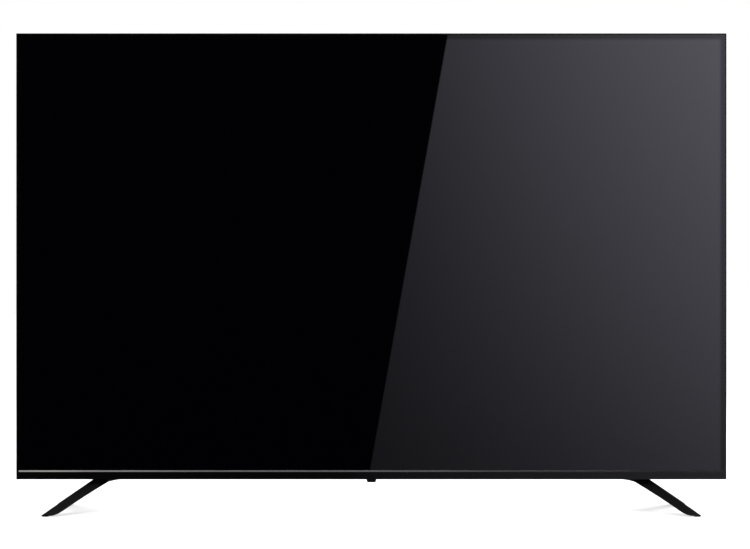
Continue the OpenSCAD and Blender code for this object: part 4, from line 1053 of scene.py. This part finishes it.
@dataclass
class ConnectorBays(SubAssembly):
    """Sockets of the port bay and the mains inlet, with their contacts."""

    edge: Rounding = Rounding(0.00012)
    sockets: tuple[str, ...] = (
        "hdmi_sockets", "usb_sockets", "lan_socket", "optical_socket", "antenna_socket", "audio_jacks",
        "ac_inlet",
    )
    wide_tongue: float = 0.0118
    network_floor: float = 0.0024
    network_reach: tuple[float, float] = (0.003, 0.012)
    network_half: float = 0.0052
    row_share: float = 0.84
    blade_share: float = 0.8
    blade_h: float = 0.00024

    def build(self) -> None:
        """Rounds the mouths and sets the rows of contacts in them."""
        self.palette.dress("socket_tongues", "inlet_pins")
        for node in self.sockets:
            self.soften(node, self.edge)
        tongues = sorted(loose_boxes("socket_tongues"), key=lambda box: box[0][2])
        wide = [box for box in tongues if box[1][2] - box[0][2] > self.wide_tongue]
        narrow = [box for box in tongues if box not in wide]
        low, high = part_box("lan_socket")
        middle = (low.z + high.z) / 2
        floor = low.y + self.network_floor
        near, far = (low.x + reach for reach in self.network_reach)
        network = ((near, floor, middle - self.network_half), (far, floor, middle + self.network_half))
        self.add_contacts("video_contacts", wide, count=10, width=0.00055)
        self.add_contacts("data_contacts", narrow, count=4, width=0.0012)
        self.add_contacts("network_contacts", [network], count=8, width=0.0005)

    def add_contacts(self, name: str, tongues: Sequence[Box], count: int, width: float) -> None:
        """Rows of contact blades on the back-facing side of tongues that are all alike.

        Args:
            name: The piece's name.
            tongues: Box of each tongue.
            count: Blades in a row.
            width: Width of a blade.
        """
        low, high = tongues[0]
        span = (high[2] - low[2]) * self.row_share
        tree = FormTree(name)
        blades = tree.given("Blades", count)
        pitch = tree.given("Pitch", span / (count - 1))
        length = tree.given("Blade length", (high[0] - low[0]) * self.blade_share)
        height = tree.given("Blade height", self.blade_h)
        blade = tree.block(length, height, tree.given("Blade width", width))
        start = tree.vector(0.0, 0.0, -span / 2)
        rank = tree.repeated(tree.row(blades, start, tree.vector(0.0, 0.0, pitch)), blade)
        places = [((a[0] + b[0]) / 2, b[1], (a[2] + b[2]) / 2) for a, b in tongues]
        mesh = tree.made(tree.repeated(tree.places, rank), self.palette.materials["shell_metal"], places)
        self.add(name, mesh, "shell_metal")


@dataclass
class ControlPod(SubAssembly):
    """The pod below the middle of the bezel, with its window and button."""

    pod_edge: Rounding = Rounding(0.0006, least=0.0001)
    button_edge: Rounding = Rounding(0.0003)

    def build(self) -> None:
        """Rounds the pod and the button."""
        self.palette.dress("control_board", "ir_window", "tact_switch", "switch_plunger")
        self.soften("control_pod", self.pod_edge)
        self.soften("power_button", self.button_edge, Body.BUTTON)


@dataclass
class LegPair(SubAssembly):
    """Two splayed legs with their screws and ribbed pads."""

    leg_edge: Rounding = Rounding(0.0014, sharp=35.0, least=0.004)
    seam: float = 0.0002
    screw: CrossScrews = CrossScrews(0.0045, 0.003, 0.0025, 0.02, Facing.DOWN)
    ribs: int = 7
    rib_share: float = 0.35
    rib_width: float = 0.55

    def build(self) -> None:
        """Rounds the legs and adds what is under them."""
        self.palette.dress("stand_brackets")
        plate_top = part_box("bottom_bezel")[0].z
        for leg in ("left_leg", "right_leg"):
            self.soften(leg, replace(self.leg_edge, below=plate_top - self.seam))
        self.add_screws("leg_screw_heads", "leg_screws", self.screw)
        self.add_pads()

    def add_pads(self) -> None:
        """Rubber pads with ribs across their undersides."""
        boxes = loose_boxes("foot_pads")
        wide, long, tall = (high - low for low, high in zip(*boxes[0]))
        tree = FormTree("ribbed_pads")
        width = tree.given("Width", wide)
        length = tree.given("Length", long)
        height = tree.given("Height", tall)
        ribs = tree.given("Ribs", self.ribs)
        share = tree.given("Rib share", self.rib_share)
        plate = tree.moved(tree.block(width, length, height * (1 - share)), height * share * 0.5)
        pitch = length / ribs
        rib = tree.block(width, pitch * self.rib_width, height * share)
        first = tree.vector(0.0, (pitch - length) * 0.5, height * (share - 1) * 0.5)
        rank = tree.repeated(tree.row(ribs, first, tree.vector(0.0, pitch, 0.0)), rib)
        places = [tuple((a + b) / 2 for a, b in zip(low, high)) for low, high in boxes]
        pads = tree.repeated(tree.places, tree.joined(plate, rank))
        mesh = tree.made(pads, self.palette.of_node("foot_pads"), places)
        self.add("ribbed_pads", mesh, self.palette.slots["foot_pads"], stands_for=["foot_pads"])


@dataclass
class Internals(PlainGroup):
    """Boards, leads and speakers behind the vents."""

    nodes: tuple[str, ...] = (
        "main_board", "power_board", "tcon_board", "board_chips", "heat_sinks", "power_capacitors",
        "power_transformers", "insulation_sheet", "source_boards", "chip_films", "tcon_ribbons",
        "wifi_module", "board_standoffs", "chassis_screws", "speaker_boxes", "speaker_drivers",
        "speaker_rings", "lead_plugs", "internal_leads",
    )


@dataclass
class Studio:
    """White floor, soft lamps, reflecting cards and the camera."""

    camera_at: Point = (0.00736, -5.044, 0.4785)
    lens: float = 119.2
    world_fill: float = 0.5
    floor_half: float = 25.0
    floor_z: float = -0.0002
    floor_colour: Colour = (0.9, 0.9, 0.91)
    floor_glow: float = 0.64
    card_y: float = -3.0
    card_half: float = 12.0
    wall_span: tuple[float, float] = (-0.6, 2.2)
    low_card_end: float = -0.05
    low_card_z: float = 0.004
    strip_card_half: float = 1.7
    strip_card_low: tuple[float, float] = (-2.15, 1.24)
    strip_card_high: tuple[float, float] = (-1.4, 2.1)
    # Half the length that the strip's tones are spread over, and each tone with its place, from the left.
    strip_reach: float = 1.2
    strip_tones: tuple[tuple[float, float], ...] = (
        (0.089, 0.42), (0.11, 0.47), (0.15, 0.27), (0.2, 0.27), (0.29, 0.16),
        (0.5, 0.14), (0.59, 0.11), (0.65, 0.062), (0.83, 0.021),
    )
    # The pale field in the picture: its slanting left edge, across and up on the glass, and where it fades.
    glass_y: float = -0.0435
    edge_low: tuple[float, float] = (0.00101, 0.10496)
    edge_high: tuple[float, float] = (0.15224, 0.95185)
    edge_soft: float = 0.001
    fade_up: tuple[float, float] = (0.97, 1.5)
    fade_right: tuple[float, float] = (0.75, 2.6)
    # Its tone at the lower left corner, and what is added across its width and height: evenly, faster and
    # faster, and towards the upper right corner.
    field_size: tuple[float, float] = (0.69163, 0.85697)
    field_tone: float = 0.0075
    grow_right: float = 0.0101
    grow_right_more: float = 0.0133
    grow_corner: float = 0.0475
    grow_up: float = 0.008
    grow_up_more: float = 0.004
    field_brightest: float = 0.1
    field_colour: Colour = (2.425, 2.338, 2.763)

    def build(self) -> None:
        """Makes the stage, the light and the camera."""
        bpy.context.scene.view_settings.view_transform = "Standard"
        self.add_camera()
        self.add_world()
        self.add_floor()
        self.add_cards()
        self.add_lamp("top_softbox", (-0.5, -1.3, 3.4), size=(3.2, 1.8), power=40.0, target=(0.0, 0.1, 0.4))
        self.add_lamp("rear_softbox", (1.5, 2.6, 3.0), size=(3.4, 2.6), power=80.0, target=(0.0, 0.0, 0.4))

    def add_camera(self) -> None:
        """A long lens, level with the middle of the picture."""
        data = bpy.data.cameras.new("camera")
        data.lens = self.lens
        data.sensor_width = 36.0
        camera = bpy.data.objects.new("camera", data)
        camera.location = self.camera_at
        camera.rotation_euler = (math.pi / 2, 0.0, 0.0)
        bpy.context.scene.collection.objects.link(camera)
        bpy.context.scene.camera = camera

    @staticmethod
    def seen(bench: Bench) -> Wire:
        """Tells rays that show the background itself, straight, in a mirror or through glass.

        Args:
            bench: The nodes that ask.

        Returns:
            1 for such a ray, else 0.
        """
        path = bench.node("ShaderNodeLightPath")
        rays = ("Camera", "Glossy", "Transmission")
        camera, glossy, through = (bench.wire(path, f"Is {ray} Ray") for ray in rays)
        return camera.math("MAXIMUM", camera, glossy.math("MAXIMUM", glossy, through))

    def add_world(self) -> None:
        """White to look at, and a softer even light on the set."""
        world = bpy.data.worlds.new("white_room")
        world.use_nodes = True
        bpy.context.scene.world = world
        bench = Bench(world.node_tree)
        world.node_tree.nodes.clear()
        inputs = {"Color": WHITE, "Strength": self.seen(bench) * (1 - self.world_fill) + self.world_fill}
        sky = bench.wire(bench.node("ShaderNodeBackground", None, inputs))
        bench.node("ShaderNodeOutputWorld", None, {"Surface": sky})

    def add_floor(self) -> None:
        """A white floor that keeps a faint shadow and can be looked through from below."""
        sheet = Sheet("white_floor")
        matt = sheet.wire(sheet.node("ShaderNodeBsdfDiffuse", None, {"Color": (*self.floor_colour, 1.0)}))
        inputs = {"Color": WHITE, "Strength": self.seen(sheet) * self.floor_glow}
        white = sheet.node("ShaderNodeEmission", None, inputs)
        lit = sheet.node("ShaderNodeAddShader", None, {0: matt, 1: sheet.wire(white)})
        clear = sheet.wire(sheet.node("ShaderNodeBsdfTransparent"))
        below = sheet.wire(sheet.node("ShaderNodeNewGeometry"), "Backfacing")
        shown = sheet.node("ShaderNodeMixShader", None, {0: below, 1: sheet.wire(lit), 2: clear})
        half, z = self.floor_half, self.floor_z
        self.add_plane("floor", half, (-half, z), (half, z), sheet.end(shown))

    def add_cards(self) -> None:
        """Cards that only mirrors see: a dark room with a pale side, and a bright one for the strip."""
        half, y, z = self.card_half, self.card_y, self.low_card_z
        room = self.room_material()
        bottom, top = self.wall_span
        wall = self.add_plane("room_card", half, (y, bottom), (y, top), room)
        low = self.add_plane("low_card", half, (y, z), (self.low_card_end, z), room)
        sky = self.add_plane("strip_card", self.strip_card_half, self.strip_card_low, self.strip_card_high,
                             self.strip_material())
        for card in (wall, low, sky):
            card.visible_camera = False
            card.visible_diffuse = False
            card.visible_transmission = False
            card.visible_shadow = False
            card.visible_volume_scatter = False

    def room_material(self) -> bpy.types.Material:
        """Dark to the left of a slanting edge, and a soft grey that grows to the upper right.

        Returns:
            The material of the two dark cards.
        """
        sheet = Sheet("room_card")
        x, y, z = (sheet.along(axis) for axis in Axis)
        cx, cy, cz = self.camera_at
        behind = 2 * self.glass_y - cy
        scale = (self.glass_y - behind) / (y - behind)
        across = (x - cx) * scale + cx
        up = (z - cz) * scale + cz
        (x0, z0), (x1, z1) = self.edge_low, self.edge_high
        right = (across - x0 - (up - z0) * ((x1 - x0) / (z1 - z0))).smooth(-self.edge_soft, self.edge_soft)
        right = right * (1 - up.smooth(*self.fade_up)) * (1 - across.smooth(*self.fade_right))
        wide, tall = self.field_size
        u = (across - x0) / wide
        v = (up - z0) / tall
        rise_right = u * self.grow_right_more + v * self.grow_corner + self.grow_right
        rise_up = v * self.grow_up_more + self.grow_up
        grey = u * rise_right + v * rise_up + self.field_tone
        grey = grey.math("MINIMUM", grey.math("MAXIMUM", grey, 0.0), self.field_brightest)
        colour = sheet.blend(right * grey / self.field_brightest, (0.0, 0.0, 0.0), self.field_colour)
        return sheet.end(sheet.node("ShaderNodeEmission", None, {"Color": colour}))

    def strip_material(self) -> bpy.types.Material:
        """Bright and warm at the left end, fading and turning cool to the right.

        Returns:
            The material of the card above the strip.
        """
        sheet = Sheet("strip_card")
        share = (sheet.along(Axis.WIDTH) + self.strip_reach) / (2 * self.strip_reach)
        stops = []
        for place, tone in self.strip_tones:
            blue = min(1.15, 0.9 + 0.5 * place)
            stops.append((place, (tone, tone * 0.99, tone * blue)))
        ramp = sheet.wire(sheet.node("ShaderNodeValToRGB", {"stops": stops}, {"Fac": share}))
        return sheet.end(sheet.node("ShaderNodeEmission", None, {"Color": ramp}))

    @staticmethod
    def add_plane(name: str, half: float, near: tuple[float, float], far: tuple[float, float],
                  material: bpy.types.Material) -> bpy.types.Object:
        """A flat stage piece.

        Args:
            name: Its name.
            half: Half its width.
            near: Depth and height of its first edge.
            far: Depth and height of its other edge.
            material: Its material.

        Returns:
            The piece.
        """
        mesh = bpy.data.meshes.new(name)
        corners = [(-half, *near), (half, *near), (half, *far), (-half, *far)]
        mesh.from_pydata(corners, [], [(0, 1, 2, 3)])
        mesh.materials.append(material)
        plane = bpy.data.objects.new(name, mesh)
        bpy.context.scene.collection.objects.link(plane)
        return plane

    @staticmethod
    def add_lamp(name: str, place: Point, size: tuple[float, float], power: float, target: Point) -> None:
        """A soft rectangular lamp.

        Args:
            name: Its name.
            place: Where it hangs.
            size: Its width and height.
            power: Its power in watts.
            target: The point that it faces.
        """
        data = bpy.data.lights.new(name, "AREA")
        data.shape = "RECTANGLE"
        data.size, data.size_y = size
        data.energy = power
        lamp = bpy.data.objects.new(name, data)
        lamp.location = place
        way = Vector(target) - Vector(place)
        lamp.rotation_euler = way.to_track_quat("-Z", "Y").to_euler()
        lamp.visible_camera = False
        bpy.context.scene.collection.objects.link(lamp)


def main() -> None:
    """Builds the stage and each sub-assembly, and reports every piece."""
    logging.basicConfig(level=logging.INFO, format="%(message)s")
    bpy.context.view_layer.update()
    Studio().build()
    palette = Palette()
    for kind in (ScreenModule, FrontFrame, BackShell, ConnectorBays, ControlPod, LegPair, Internals):
        group = kind(palette)
        group.build()
        log.info("%s: %d new pieces", kind.__name__, len(group.pieces))
        for piece in group.pieces:
            log.info("  %s: %d faces", piece.name, len(piece.data.polygons))


if __name__ == "__main__":
    main()
